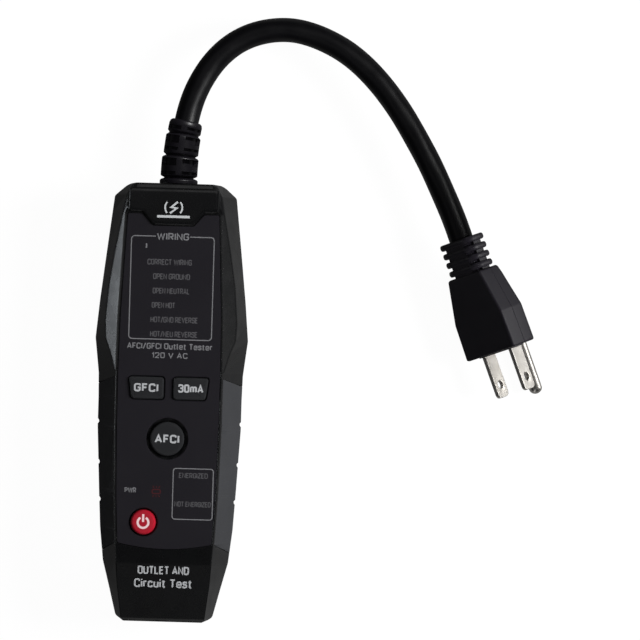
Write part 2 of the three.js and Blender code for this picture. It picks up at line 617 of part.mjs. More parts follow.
// One section of the plug: a flat side, two parallel flanks and a round nose over the ground pin.
function plugRing(z, half, flat, flank, nose, noseRadius) {
  const arc = [20, 48, 76, 104, 132, 160].map(radians);
  const round = arc.map((angle) => [noseRadius * Math.cos(angle), nose + noseRadius * Math.sin(angle)]);
  const corners = [[-half + 1, flat], [half - 1, flat], [half, flat + 1], [half, flank], ...round,
    [-half, flank], [-half, flat + 1]];
  return corners.map(([x, y]) => new THREE.Vector3(x, y, z));
}

// One rounded section of the relief behind the plug.
function reliefRing(z, halfWidth, halfHeight) {
  return Array.from({ length: 16 }, (_, i) => {
    const angle = (2 * Math.PI * (i + 0.5)) / 16;
    const [c, s] = [Math.cos(angle), Math.sin(angle)];
    const squareness = 0.75;
    return new THREE.Vector3(halfWidth * Math.sign(c) * Math.abs(c) ** squareness,
      PLUG.rearY + halfHeight * Math.sign(s) * Math.abs(s) ** squareness, z);
  });
}

function bladeEnvelope(grow, z0, z1) {
  const [t, w] = [BLADE.thickness / 2 + grow, BLADE.width / 2 + grow];
  return [1, -1].map((side) => {
    const x = (side * BLADE.spacing) / 2;
    return block(x - t, x + t, -w, w, z0, z1);
  });
}

function plugBody() {
  const shell = loft([
    plugRing(0, 11.6, -7, 6.4, PIN.y, 5),
    plugRing(PLUG.straight, 11.3, -7, 6.6, PIN.y - 0.3, 4.9),
    plugRing(PLUG.length, 7.8, -6.8, 5.5, 4.6, 3.6),
  ]);
  const relief = [[PLUG.length - 1, CORE_HALF, CORE_HALF]];
  for (let i = 0; i < RIB.count; i += 1) {
    const low = RIB.first + RIB.pitch * i;
    const high = low + RIB.thickness;
    relief.push([low, CORE_HALF, CORE_HALF], [low + 0.05, RIB.halfWidth, RIB.halfHeight]);
    relief.push([high - 0.05, RIB.halfWidth, RIB.halfHeight], [high, CORE_HALF, CORE_HALF]);
  }
  return cut(shell.add(loft(relief.map((ring) => reliefRing(...ring)))), [
    prism(bridgeOutline(FIT), -1, BRIDGE.depth + FIT),
    ...bladeEnvelope(FIT, -1, PLUG.pocket + FIT),
    column(PIN.diameter + 2 * FIT, -1, PLUG.pocket + FIT, 0, PIN.y),
  ]);
}

function bridgeOutline(grow) {
  const [x, y] = [BRIDGE.halfWidth + grow, BRIDGE.halfHeight + grow];
  return roundedOutline([[x, y], [-x, y], [-x, -y], [x, -y]], 3);
}

function plugBridge() {
  return cut(prism(bridgeOutline(0), -BRIDGE.proud, BRIDGE.depth), bladeEnvelope(FIT, -FAR, FAR));
}

function blade(side) {
  const [w, tip, corner] = [BLADE.width / 2, -BLADE.length, 2];
  const shape = new THREE.Shape();
  shape.moveTo(-w, PLUG.pocket);
  shape.lineTo(-w, tip + corner);
  shape.quadraticCurveTo(-w, tip, -w + corner, tip);
  shape.lineTo(w - corner, tip);
  shape.quadraticCurveTo(w, tip, w, tip + corner);
  shape.lineTo(w, PLUG.pocket);
  shape.closePath();
  shape.holes.push(new THREE.Path().absarc(0, tip + BLADE.holeInset, BLADE.hole / 2, 0, 2 * Math.PI, true));
  const slab = new THREE.ExtrudeGeometry(shape,
    { depth: BLADE.thickness, bevelEnabled: false, curveSegments: 8 });
  const turn = new THREE.Matrix4().makeBasis(
    new THREE.Vector3(0, 1, 0), new THREE.Vector3(0, 0, 1), new THREE.Vector3(1, 0, 0));
  return solidOf(slab.applyMatrix4(turn)
    .translate((side * BLADE.spacing) / 2 - BLADE.thickness / 2, 0, 0));
}

function groundPin() {
  const radius = PIN.diameter / 2;
  const dome = [80, 60, 40, 20, 0].map(radians);
  const profile = [new THREE.Vector2(0, -PIN.length)];
  for (const angle of dome) {
    profile.push(new THREE.Vector2(radius * Math.cos(angle), radius - PIN.length - radius * Math.sin(angle)));
  }
  profile.push(new THREE.Vector2(radius, PLUG.pocket), new THREE.Vector2(0, PLUG.pocket));
  const lathe = new THREE.LatheGeometry(profile, 20);
  return solidOf(lathe.rotateX(Math.PI / 2).translate(0, PIN.y, 0));
}

add('plug_body', plugBody(), FINISH.plug, plug);
add('plug_bridge', plugBridge(), FINISH.bridge, plug);
add('line_blade', blade(-1), FINISH.nickel, plug);
add('neutral_blade', blade(1), FINISH.nickel, plug);
add('ground_pin', groundPin(), FINISH.nickel, plug);

export default tester;
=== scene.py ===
"""Looks of the hand-held outlet tester: case, printed panel, keys, grips, cord and three-pin plug.

Shapes are worked out in millimetres in the row's frame (+Z out of the face, +Y towards the cord) and
scaled to metres when a mesh is made.
"""
import json
import math

import bmesh
import bpy
from mathutils import Matrix, Vector

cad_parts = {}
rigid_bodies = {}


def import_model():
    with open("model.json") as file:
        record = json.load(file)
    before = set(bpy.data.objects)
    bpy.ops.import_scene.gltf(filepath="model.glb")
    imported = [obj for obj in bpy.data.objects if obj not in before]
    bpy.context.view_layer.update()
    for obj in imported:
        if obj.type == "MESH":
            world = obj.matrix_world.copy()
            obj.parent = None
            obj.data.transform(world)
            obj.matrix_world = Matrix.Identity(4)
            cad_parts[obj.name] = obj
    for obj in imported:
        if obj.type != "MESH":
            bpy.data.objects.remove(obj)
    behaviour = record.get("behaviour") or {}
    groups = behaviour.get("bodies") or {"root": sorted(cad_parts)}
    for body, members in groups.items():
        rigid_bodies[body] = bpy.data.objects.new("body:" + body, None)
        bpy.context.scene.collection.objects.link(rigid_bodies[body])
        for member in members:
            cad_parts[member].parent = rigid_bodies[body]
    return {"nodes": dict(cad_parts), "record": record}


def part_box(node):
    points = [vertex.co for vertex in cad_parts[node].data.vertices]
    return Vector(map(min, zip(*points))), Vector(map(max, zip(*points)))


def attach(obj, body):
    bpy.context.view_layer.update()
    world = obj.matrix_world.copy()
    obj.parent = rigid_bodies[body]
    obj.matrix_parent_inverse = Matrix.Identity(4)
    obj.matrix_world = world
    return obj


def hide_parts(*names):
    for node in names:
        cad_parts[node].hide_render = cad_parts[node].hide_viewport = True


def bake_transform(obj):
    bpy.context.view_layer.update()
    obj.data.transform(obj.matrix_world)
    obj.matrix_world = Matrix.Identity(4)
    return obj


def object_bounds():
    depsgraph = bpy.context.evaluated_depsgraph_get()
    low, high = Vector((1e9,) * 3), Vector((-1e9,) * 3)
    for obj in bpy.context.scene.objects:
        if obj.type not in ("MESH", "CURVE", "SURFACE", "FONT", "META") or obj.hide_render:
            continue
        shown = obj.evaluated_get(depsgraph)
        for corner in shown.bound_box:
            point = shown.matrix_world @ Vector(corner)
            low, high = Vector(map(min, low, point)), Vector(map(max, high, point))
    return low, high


for leftover in list(bpy.data.objects):
    bpy.data.objects.remove(leftover)
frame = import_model()
CAD_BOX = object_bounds()
MM = 0.001


def node_box(node):
    """A CAD node's lowest and highest corners in millimetres."""
    return [Vector(corner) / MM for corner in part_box(node)]


def placed(rows, name):
    """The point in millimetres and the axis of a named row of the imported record."""
    found = next(row for row in rows if row["name"] == name)
    return Vector(found["pos_m"]) / MM, Vector(found["axis"])


def joint(name):
    return placed(frame["record"]["behaviour"]["joints"], name)


# ---------- driving sizes
CASE_HIGH = node_box("front_cover")[1]
HALF_LENGTH = CASE_HIGH.y
FACE_Z = node_box("label_overlay")[1].z
PARTING_Z = 16
CORD_Z = joint("cord_lift")[0].z
CORD_RADIUS = (node_box("cord_3")[1].z - node_box("cord_3")[0].z) / 2
SKIN = 0.02
INK = 0.03

# Case outline: [y, value] pairs for the half width at the parting plane, at the edge of the face and
# at the outer edge of the upper bevel, then the heights of the face and of the back.
SIDE_EDGE = [(-79.8, 16.6), (-78.2, 17.9), (-68.7, 20.3), (-58.5, 23), (-46.4, 24.35), (-33.3, 25.1),
             (-9.5, 26.3), (1.5, 26.3), (10.2, 26.5), (23, 28), (36.9, 26.75), (55.2, 24.7),
             (75.2, 22.4), (79.8, 17.2)]
FACE_EDGE = [(-79.8, 15.1), (-66, 16.8), (-51, 17.85), (-33.3, 18.7), (-9.5, 19.2), (11.5, 19.3),
             (31.5, 19), (69, 17.3), (79.8, 14)]
BEVEL_EDGE = [(11.5, 19.9), (18.3, 21.9), (23, 23.8), (29.4, 24.1), (42.4, 23.1), (55.2, 21.1),
              (75.2, 17.4), (79.8, 15)]
FACE_HEIGHT = [(-79.8, 29), (-58.5, 34), (69, 34), (75.2, 32.5), (79.8, 30)]
BACK_HEIGHT = [(-79.8, 4), (-75.2, 0), (75.2, 0), (79.8, 4)]
LOWER_RIDGE = 0.04
EDGE_RADII = (0.9, 0.7, 0.3, 1.5, 1.6)
EASE = 0.45
END_RADIUS = 1.4


# ---------- mesh helpers
def new_object(name, data):
    obj = bpy.data.objects.new(name, data)
    bpy.context.scene.collection.objects.link(obj)
    return obj


def mesh_object(name, verts, faces):
    mesh = bpy.data.meshes.new(name)
    mesh.from_pydata([Vector(v) * MM for v in verts], [], faces)
    return new_object(name, mesh)


def tidy(obj, distance=1e-3):
    """Merges doubled points (distance in millimetres) and turns every face outwards."""
    bm = bmesh.new()
    bm.from_mesh(obj.data)
    bmesh.ops.remove_doubles(bm, verts=bm.verts, dist=distance * MM)
    bmesh.ops.dissolve_degenerate(bm, edges=bm.edges, dist=distance * MM / 10)
    bmesh.ops.recalc_face_normals(bm, faces=bm.faces)
    bm.to_mesh(obj.data)
    bm.free()
    return obj


def loft(name, rings, closed=False):
    """A solid through matching rings: capped at both ends, or joined end to start when closed."""
    count = len(rings[0])
    verts = [p for ring in rings for p in ring]
    spans = len(rings) if closed else len(rings) - 1
    faces = []
    for k in range(spans):
        low, high = k * count, (k + 1) % len(rings) * count
        for i in range(count):
            j = (i + 1) % count
            faces.append((low + i, low + j, high + j, high + i))
    if not closed:
        faces.append(tuple(range(count)))
        faces.append(tuple(range(len(verts) - count, len(verts))))
    return tidy(mesh_object(name, verts, faces))


def block(low, high):
    corners = [(x, y, z) for z in (low[2], high[2]) for x, y in (
        (low[0], low[1]), (high[0], low[1]), (high[0], high[1]), (low[0], high[1]))]
    return loft("block", [corners[:4], corners[4:]])


def circle(x, y, radius, count=64):
    turns = [2 * math.pi * i / count for i in range(count)]
    return [(x + radius * math.cos(t), y + radius * math.sin(t)) for t in turns]


def rounded(corners, radii, steps=4):
    """A closed 2-D outline with its corners rounded off; radii is one number or one per corner."""
    outline = []
    for i, corner in enumerate(corners):
        here = Vector(corner)
        back, ahead = Vector(corners[i - 1]) - here, Vector(corners[(i + 1) % len(corners)]) - here
        radius = radii[i] if isinstance(radii, (list, tuple)) else radii
        reach = min(radius, 0.46 * back.length, 0.46 * ahead.length)
        start, end = here + back.normalized() * reach, here + ahead.normalized() * reach
        for k in range(steps + 1):
            t = k / steps
            outline.append(start.lerp(here, t).lerp(here.lerp(end, t), t))
    return outline


def evaluated_mesh(obj):
    graph = bpy.context.evaluated_depsgraph_get()
    return bpy.data.meshes.new_from_object(obj.evaluated_get(graph))


def combine(obj, tool, operation):
    """Applies one boolean and removes the tool."""
    modifier = obj.modifiers.new("combine", "BOOLEAN")
    modifier.operation, modifier.object, modifier.solver = operation, tool, "EXACT"
    mesh = evaluated_mesh(obj)
    obj.modifiers.clear()
    obj.data = mesh
    bpy.data.objects.remove(tool)
    return obj


def cut(obj, *tools):
    for tool in tools:
        combine(obj, tool, "DIFFERENCE")
    return obj


def merged(name, parts):
    """One mesh object made of several, in their places."""
    bm = bmesh.new()
    for part in parts:
        part.data.transform(part.matrix_world)
        bm.from_mesh(part.data)
        bpy.data.objects.remove(part)
    mesh = bpy.data.meshes.new(name)
    bm.to_mesh(mesh)
    bm.free()
    return new_object(name, mesh)


def from_cad(node, name):
    """A new welded mesh with the shape of a CAD node."""
    mesh = frame["nodes"][node].data.copy()
    mesh.materials.clear()
    mesh.transform(frame["nodes"][node].matrix_world)
    return tidy(new_object(name, mesh))


def soft_shading(obj, angle=32, weighted=True):
    obj.data.shade_smooth()
    obj.data.set_sharp_from_angle(angle=math.radians(angle))
    if weighted:
        obj.modifiers.new("weighted", "WEIGHTED_NORMAL").keep_sharp = True
    return obj


def finish_piece(obj, material, body, slot, *nodes):
    """Gives a piece its material and body, and hides the CAD nodes it stands for; slot is not used."""
    obj.data.materials.clear()
    obj.data.materials.append(material)
    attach(obj, body)
    if nodes:
        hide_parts(*nodes)
    return obj


# ---------- materials
def add_node(tree, kind, links=None, **values):
    """A new node: values set its properties or inputs, links feed inputs from other nodes."""
    node = tree.nodes.new(kind)
    for key, value in values.items():
        if hasattr(node, key):
            setattr(node, key, value)
        else:
            node.inputs[key.replace("_", " ")].default_value = value
    for key, source in (links or {}).items():
        tree.links.new(source, node.inputs[key])
    return node


class Surface:
    """A Principled material built from a few procedural layers on object coordinates."""

    def __init__(self, name, colour, roughness, metallic=0.0, specular=0.5):
        self.material = bpy.data.materials.new(name)
        self.material.use_nodes = True
        self.tree = self.material.node_tree
        self.shader = self.tree.nodes["Principled BSDF"]
        self.shader.inputs["Metallic"].default_value = metallic
        self.shader.inputs["Specular IOR Level"].default_value = specular
        self.place = self.node("ShaderNodeTexCoord").outputs["Object"]
        self.colour = self.node("ShaderNodeRGB").outputs[0]
        self.colour.default_value = (*colour, 1)
        self.roughness = self.node("ShaderNodeValue").outputs[0]
        self.roughness.default_value = roughness

    def node(self, kind, links=None, **values):
        return add_node(self.tree, kind, links, **values)

    def noise(self, scale_mm, detail=3.0):
        """A noise value from 0 to 1 whose features measure about scale_mm."""
        return self.node("ShaderNodeTexNoise", {"Vector": self.place}, Scale=1 / (scale_mm * MM),
                         Detail=detail).outputs["Fac"]

    def remap(self, value, low, high, start=0.3, end=0.7):
        return self.node("ShaderNodeMapRange", {"Value": value}, From_Min=start, From_Max=end,
                         To_Min=low, To_Max=high).outputs["Result"]

    def tint(self, colour, factor):
        """Mixes another colour in by a texture value."""
        mix = self.node("ShaderNodeMix", data_type="RGBA", B=(*colour, 1))
        self.tree.links.new(factor, mix.inputs["Factor"])
        self.tree.links.new(self.colour, mix.inputs["A"])
        self.colour = mix.outputs["Result"]

    def vary_roughness(self, value, spread):
        change = self.remap(value, -spread, spread)
        self.roughness = self.node("ShaderNodeMath", {0: self.roughness, 1: change}).outputs[0]

    def bump(self, value, depth_mm):
        bump = self.node("ShaderNodeBump", {"Height": value}, Strength=1.0, Distance=depth_mm * MM)
        self.tree.links.new(bump.outputs["Normal"], self.shader.inputs["Normal"])

    def lighten_worn_and_lit_edges(self, colour, amount):
        """Lightens convex edges: partly wear where handling polishes them, partly a painted edge
        highlight.
        """
        point = self.node("ShaderNodeNewGeometry").outputs["Pointiness"]
        self.tint(colour, self.remap(point, 0.0, amount, 0.52, 0.66))

    def done(self):
        self.tree.links.new(self.colour, self.shader.inputs["Base Color"])
        self.tree.links.new(self.roughness, self.shader.inputs["Roughness"])
        return self.material


def moulded(name, colour, roughness, lighter, grain_mm=0.35, grain_depth=0.012, specular=0.5,
            edge_wear_and_highlight=0.25):
    """Moulded plastic or rubber: fine spark-eroded grain, faint handling marks, and paler edges that
    are part wear and part painted edge highlight.
    """
    surface = Surface(name, colour, roughness, specular=specular)
    surface.tint(lighter, surface.remap(surface.noise(14), 0.0, 0.35))
    surface.vary_roughness(surface.noise(6, 5), 0.05)
    # paler convex edges: part handling wear, part painted edge highlight
    surface.lighten_worn_and_lit_edges(lighter, edge_wear_and_highlight)
    surface.bump(surface.noise(grain_mm, 2), grain_depth)
    return surface.done()


def plated(name, colour, roughness):
    """Bright plated metal with faint lengthwise drawing marks and dull patches."""
    surface = Surface(name, colour, roughness, metallic=1.0)
    dull = (colour[0] * 0.88, colour[1] * 0.85, colour[2] * 0.8)
    surface.tint(dull, surface.remap(surface.noise(9), 0, 0.4))
    surface.vary_roughness(surface.noise(6, 3), 0.05)
    surface.bump(surface.noise(0.9, 2), 0.0008)
    return surface.done()


SHELL = moulded("shell_plastic", (0.0032, 0.0033, 0.0036), 0.27, (0.0055, 0.0057, 0.0063), 0.3, 0.006,
                edge_wear_and_highlight=0.1)
LABEL = moulded("label_film", (0.0125, 0.0115, 0.0145), 0.42, (0.0165, 0.0155, 0.019), 0.2, 0.004,
                edge_wear_and_highlight=0.1)
KEY = moulded("key_rubber", (0.017, 0.0175, 0.019), 0.5, (0.026, 0.027, 0.029), 0.3, 0.008, 0.3)
RED = moulded("red_key", (0.37, 0.009, 0.022), 0.42, (0.42, 0.014, 0.03), 0.3, 0.006, 0.25)
GRIP = moulded("grip_rubber", (0.038, 0.039, 0.042), 0.65, (0.050, 0.051, 0.055), 0.5, 0.03, 0.2, 0.06)
CORD = moulded("cord_jacket", (0.0036, 0.0035, 0.0044), 0.36, (0.0055, 0.0053, 0.0064), 0.6, 0.008, 0.4)
PLUG = moulded("plug_vinyl", (0.0068, 0.0058, 0.0088), 0.42, (0.0105, 0.0095, 0.0125), 0.4, 0.012, 0.4)
BRIDGE = moulded("bridge_nylon", (0.04, 0.04, 0.043), 0.5, (0.07, 0.07, 0.073))
NICKEL = plated("blade_nickel", (0.86, 0.83, 0.78), 0.34)
STEEL = plated("screw_steel", (0.42, 0.43, 0.44), 0.32)
INK_WHITE = moulded("ink_white", (0.42, 0.43, 0.445), 0.5, (0.47, 0.48, 0.495), 0.15, 0.004)
INK_GREY = moulded("ink_grey", (0.17, 0.17, 0.18), 0.5, (0.20, 0.20, 0.21), 0.15, 0.004)
INK_DIM = moulded("ink_dim", (0.075, 0.073, 0.08), 0.5, (0.09, 0.09, 0.095), 0.15, 0.004)
INK_HOOD = moulded("ink_hood", (0.50, 0.52, 0.53), 0.4, (0.58, 0.6, 0.61), 0.15, 0.004)
INK_PINK = moulded("ink_pink", (0.85, 0.62, 0.63), 0.5, (0.9, 0.68, 0.69), 0.15, 0.004)
LAMP_RED = moulded("lamp_window", (0.060, 0.012, 0.014), 0.35, (0.075, 0.015, 0.017), 0.2, 0.003)


# ---------- case
def along(profile, y):
    if y <= profile[0][0]:
        return profile[0][1]
    for (y0, v0), (y1, v1) in zip(profile, profile[1:]):
        if y <= y1:
            return v0 + (v1 - v0) * (y - y0) / (y1 - y0)
    return profile[-1][1]


def eased(profile, y):
    """The profile with its corners softened over a short length."""
    return sum(along(profile, y + k * EASE) for k in (-1, -0.5, 0, 0.5, 1)) / 5


def case_section(y, inset):
    """Half a cross section of the case, from the face to the back, moved in by inset."""
    beyond = abs(y) - (HALF_LENGTH - END_RADIUS)
    if beyond > 0:
        inset += END_RADIUS - math.sqrt(max(END_RADIUS ** 2 - beyond ** 2, 0))
    top, bottom = eased(FACE_HEIGHT, y) - inset, eased(BACK_HEIGHT, y)
    face, wide, bevel = (eased(p, y) - inset for p in (FACE_EDGE, SIDE_EDGE, BEVEL_EDGE))
    ridge = (bevel, top - (bevel - face))
    if y < BEVEL_EDGE[0][0]:
        ridge = (face + LOWER_RIDGE * (wide - face), top + LOWER_RIDGE * (PARTING_Z - top))
    return [(face, top), ridge, (wide, PARTING_Z), (wide - 1.5, 5 + bottom / 2),
            (wide - 6, bottom + inset)]


def case_stations(end):
    """Stations along the case: close together at each corner of the profiles and at both ends."""
    stations = {round(-end + 3 * k, 2) for k in range(int(2 * end / 3) + 1)}
    for y, _ in SIDE_EDGE + FACE_EDGE + BEVEL_EDGE + FACE_HEIGHT + BACK_HEIGHT:
        stations |= {round(y + step, 2) for step in (-0.6, -0.3, 0, 0.3, 0.6)}
    for k in range(7):
        at = end - END_RADIUS * (1 - math.sin(math.pi / 2 * k / 6))
        stations |= {round(at, 3), round(-at, 3)}
    return sorted(y for y in stations if abs(y) <= end)


def case_skin(inset=SKIN):
    rings = []
    for y in case_stations(HALF_LENGTH - inset):
        right = case_section(y, inset)
        corners = right + [(-x, z) for x, z in reversed(right)]
        section = rounded(corners, EDGE_RADII + EDGE_RADII[::-1])
        rings.append([(x, y, z) for x, z in section])
    return loft("case_skin", rings)


HOOD_TOP = CASE_HIGH.z
HOOD_HALF = 16.3
HOOD_END, HOOD_SHOULDER, HOOD_TAB = 77.6, 69.2, 64.5
HOOD_TAB_SHOULDER, HOOD_TAB_HALF = 11, 7.2
HOOD_SLOPE_START, HOOD_SLOPE = 74, 0.55


def hood_outline(grow):
    right = [(HOOD_HALF + grow, HOOD_END + grow), (HOOD_HALF + grow, HOOD_SHOULDER - grow),
             (HOOD_TAB_SHOULDER + 0.4 * grow, HOOD_SHOULDER - grow),
             (HOOD_TAB_HALF + 0.4 * grow, HOOD_TAB - grow)]
    return rounded(right + [(-x, y) for x, y in reversed(right)], 0.9)


def pillow(name, outline, layers):
    """A solid of stacked outlines; each layer is (growth, height)."""
    return loft(name, [[(x, y, z) for x, y in outline(grow)] for grow, z in layers])


CROWN = 0.04


def soft_top(z_top, radius, steps=5):
    """Layers of a rounded top edge, ending in a barely crowned top."""
    turns = [math.pi / 2 * k / steps for k in range(steps + 1)]
    layers = [(-radius * (1 - math.cos(t)), z_top - radius * (1 - math.sin(t))) for t in turns]
    return layers + [(-radius - 0.8, z_top + CROWN)]


def hood():
    obj = pillow("hood", hood_outline, [(-SKIN, 26)] + soft_top(HOOD_TOP - 0.06, 0.5))
    for vertex in obj.data.vertices:
        beyond = vertex.co.y / MM - HOOD_SLOPE_START
        if beyond > 0 and vertex.co.z / MM > PARTING_Z + 12:
            vertex.co.z -= beyond * HOOD_SLOPE * MM
    return obj


def cover(node, name, body="case"):
    """A cover: the CAD shell with all its openings, inside the softened skin of the case."""
    obj = from_cad(node, name)
    skin = case_skin()
    if node == "front_cover":
        combine(skin, hood(), "UNION")
    combine(obj, skin, "INTERSECT")
    soft_shading(tidy(obj))
    return finish_piece(obj, SHELL, body, "shell", node)


GROOVES = (-7.6, -22.5, -36.2)
GROOVE_RADIUS, GROOVE_DEPTH, GROOVE_SPAN = 1.0, 0.6, (4, 24)


def grip(side):
    """A side grip that stands slightly proud of the shell, with three short finger grooves."""
    name = "grip_right" if side > 0 else "grip_left"
    obj = combine(from_cad(name, f"{name}_rubber"), case_skin(), "INTERSECT")
    for y in GROOVES:
        x = side * (eased(SIDE_EDGE, y) + GROOVE_RADIUS - GROOVE_DEPTH)
        round_tool = circle(x, y, GROOVE_RADIUS, 24)
        cut(obj, loft("groove", [[(*p, z) for p in round_tool] for z in GROOVE_SPAN]))
    soft_shading(tidy(obj))
    return finish_piece(obj, GRIP, "case", "grip", name)


cover("front_cover", "front_cover_shell")
cover("rear_cover", "rear_cover_shell")
grip(1)
grip(-1)


# ---------- label and keys
LABEL_MARGIN, LABEL_LOW, LABEL_BOW, LABEL_HIGH, LABEL_GAP = 0.8, -51, 4, 68.4, 0.2
LABEL_THICKNESS = 0.5
KEY_INNER, KEY_OUTER_TOP, KEY_OUTER_LOW, KEY_LOW, KEY_HIGH = 1.75, 14.5, 13.4, 1.3, 9.3
BREAKER = (0, -13, 6.2, 7.5)
POWER = (-7.8, -43.4, 4.55, 5.15)
KEY_SLACK = 0.35
KEY_TOP = node_box("gfci_button")[1].z
FLANGE_LOW, FLANGE_HIGH, FLANGE = 29.5, 31.3, 0.8


def label_outline(grow):
    def half(y):
        return along(FACE_EDGE, y) - LABEL_MARGIN + grow

    high = LABEL_HIGH + grow
    right = [(half(high), high)] + [(half(y), y) for y in (31.5, 11.5, -9.5, -33.3)]
    right.append((half(LABEL_LOW), LABEL_LOW - grow))
    left = [(-x, y) for x, y in reversed(right)]
    bottom = [(half(LABEL_LOW) * (1 - 2 * t), LABEL_LOW - grow - 2 * LABEL_BOW * t * (1 - t))
              for t in (k / 12 for k in range(1, 12))]
    tab_y = HOOD_TAB - 2 * LABEL_GAP + grow
    notch = [(-HOOD_TAB_SHOULDER - LABEL_GAP + grow, high), (-HOOD_TAB_HALF - LABEL_GAP + grow, tab_y),
             (HOOD_TAB_HALF + LABEL_GAP - grow, tab_y), (HOOD_TAB_SHOULDER + LABEL_GAP - grow, high)]
    return rounded(right + bottom + left + notch, 0.5, 2)


def key_outline(side):
    def outline(grow):
        corners = [(KEY_INNER - grow, KEY_HIGH + grow), (KEY_OUTER_TOP + grow, KEY_HIGH + grow),
                   (KEY_OUTER_LOW + grow, KEY_LOW - grow), (KEY_INNER - grow, KEY_LOW - grow)]
        return rounded([(side * x, y) for x, y in corners], 1.3 + grow, 8)
    return outline


def disc_outline(x, y, radius):
    return lambda grow: circle(x, y, radius + grow)


def label_sheet():
    low = FACE_Z - LABEL_THICKNESS
    sheet = pillow("label_film_sheet", label_outline, [(0, low), (0, FACE_Z - 0.1), (-0.1, FACE_Z)])
    openings = [(key_outline(1), KEY_SLACK), (key_outline(-1), KEY_SLACK),
                (disc_outline(*BREAKER[:3]), BREAKER[3] - BREAKER[2]),
                (disc_outline(*POWER[:3]), POWER[3] - POWER[2])]
    for outline, slack in openings:
        edge = [(slack, low - 1), (slack, FACE_Z - 0.3), (slack + 0.12, FACE_Z - 0.12),
                (slack + 0.6, FACE_Z + 0.1)]
        cut(sheet, pillow("opening", outline, edge))
    soft_shading(tidy(sheet))
    return finish_piece(sheet, LABEL, "case", "label", "label_overlay")


def key_cap(name, outline, material, slot, radius):
    """A key: a flange held under the cover, straight sides and a softly rounded top."""
    layers = [(FLANGE, FLANGE_LOW), (FLANGE, FLANGE_HIGH), (0, FLANGE_HIGH)]
    cap = pillow(f"{name}_cap", outline, layers + soft_top(KEY_TOP - CROWN, radius))
    soft_shading(cap, 50)
    return finish_piece(cap, material, f"{name}_key", slot, f"{name}_button")


label_sheet()
key_cap("gfci", key_outline(-1), KEY, "key", 0.55)
key_cap("current", key_outline(1), KEY, "key", 0.55)
key_cap("breaker", disc_outline(*BREAKER[:3]), KEY, "key", 0.7)
key_cap("power", disc_outline(*POWER[:3]), RED, "red_key", 1.0)


# ---------- printing
def stroke(points, width, z):
    """A printed line through points, with mitred corners and square ends."""
    path = [Vector(p) for p in points]
    sides = [Vector((a.y - b.y, b.x - a.x)).normalized() for a, b in zip(path, path[1:])]
    rings = []
    for here, before, after in zip(path, [sides[0]] + sides, sides + [sides[-1]]):
        mean = (before + after).normalized()
        across = mean * width / 2 / max(mean.dot(before), 0.5)
        left, right = here + across, here - across
        rings.append([(*left, z), (*right, z), (*right, z + INK), (*left, z + INK)])
    return loft("stroke", rings)


# Letter strokes on a cap height of 100: the width, then each line's x,y points; a third number
# rounds that corner.
GLYPHS = {
    "A": "60|0,0 30,100 60,0|9,30 51,30", "C": "50|50,74 50,100,24 0,100,24 0,0,24 50,0,24 50,26",
    "D": "54|0,0 0,100 54,100,28 54,0,28 0,0", "E": "46|46,100 0,100 0,0 46,0|0,52 40,52",
    "F": "40|43,100 0,100 0,0|0,50 37,50", "H": "54|0,0 0,100|54,0 54,100|0,52 54,52",
    "G": "52|52,76 52,100,24 0,100,24 0,0,24 52,0,24 52,48 30,48", "I": "0|0,0 0,100",
    "L": "44|0,100 0,0 44,0", "N": "56|0,0 0,100 56,0 56,100",
    "O": "54|27,100 54,100,24 54,0,24 0,0,24 0,100,24 27,100",
    "P": "50|0,0 0,100 50,100,22 50,44,22 0,44",
    "R": "52|0,0 0,100 50,100,22 50,46,22 0,46|26,46 52,0", "T": "52|0,100 52,100|26,100 26,0",
    "S": "50|50,76 50,100,22 0,100,22 0,52,22 50,52,22 50,0,22 0,0,22 0,24",
    "U": "54|0,100 0,0,24 54,0,24 54,100", "V": "60|0,100 30,0 60,100",
    "W": "86|0,100 20,0 43,92 66,0 86,100", "Z": "50|0,100 50,100 0,0 50,0", "/": "36|0,-8 36,108",
    "0": "50|25,100 50,100,24 50,0,24 0,0,24 0,100,24 25,100", "1": "20|0,78 20,100 20,0",
    "2": "50|0,74 0,100,24 50,100,24 50,56,20 0,0 50,0",
    "3": "50|0,78 0,100,22 50,100,22 50,53,16 16,53|16,53 50,53,18 50,0,22 0,0,22 0,22",
    "c": "40|40,52 40,72,18 0,72,18 0,0,18 40,0,18 40,20", "i": "0|0,0 0,72|0,90 0,106",
    "e": "44|0,36 44,36 44,72,20 0,72,20 0,0,20 42,0,20 42,14", "l": "12|0,104 0,0,12 14,0",
    "m": "74|0,0 0,72|0,44 0,72,20 37,72,20 37,0|37,44 37,72,20 74,72,20 74,0",
    "r": "26|0,0 0,72|0,44 0,72,18 28,72", "t": "28|10,94 10,0,16 28,0|-4,72 28,72",
    "s": "38|38,56 38,72,16 0,72,16 0,38,16 38,38,16 38,0,16 0,0,16 0,16",
    "u": "42|0,72 0,0,18 42,0,18|42,72 42,0", " ": "9|",
}
LETTER_GAP = 9


def glyph_lines(line):
    """The points of one letter stroke, with its marked corners rounded."""
    corners = [[float(n) for n in point.split(",")] for point in line.split()]
    path = [tuple(corners[0][:2])]
    for before, here, after in zip(corners, corners[1:], corners[2:]):
        if len(here) == 3:
            path += rounded([before[:2], here[:2], after[:2]], [0, here[2], 0], 6)[1 + 6:-1 - 6]
        else:
            path.append(tuple(here))
    return path + [tuple(corners[-1][:2])]


def lettering(text, x, y, z, width, height, weight=0.16):
    """Printed text in plain bold strokes, width by height millimetres, centred on x and y."""
    lines, at = [], 0.0
    for letter in text:
        size, *drawn = GLYPHS[letter].split("|")
        lines += [[(at + px, py) for px, py in glyph_lines(line)] for line in drawn if line]
        at += float(size) + LETTER_GAP + 100 * weight
    low = min(px for line in lines for px, _ in line)
    high = max(px for line in lines for px, _ in line)
    thick = weight * height
    across, up = (width - thick) / (high - low), (height - thick) / 100
    strokes = []
    for k, line in enumerate(lines):
        placed = [(x + (px - (low + high) / 2) * across, y + (py - 50) * up) for px, py in line]
        strokes.append(stroke(placed, thick, z + 0.002 * (k % 3)))
    return merged("lettering", strokes)


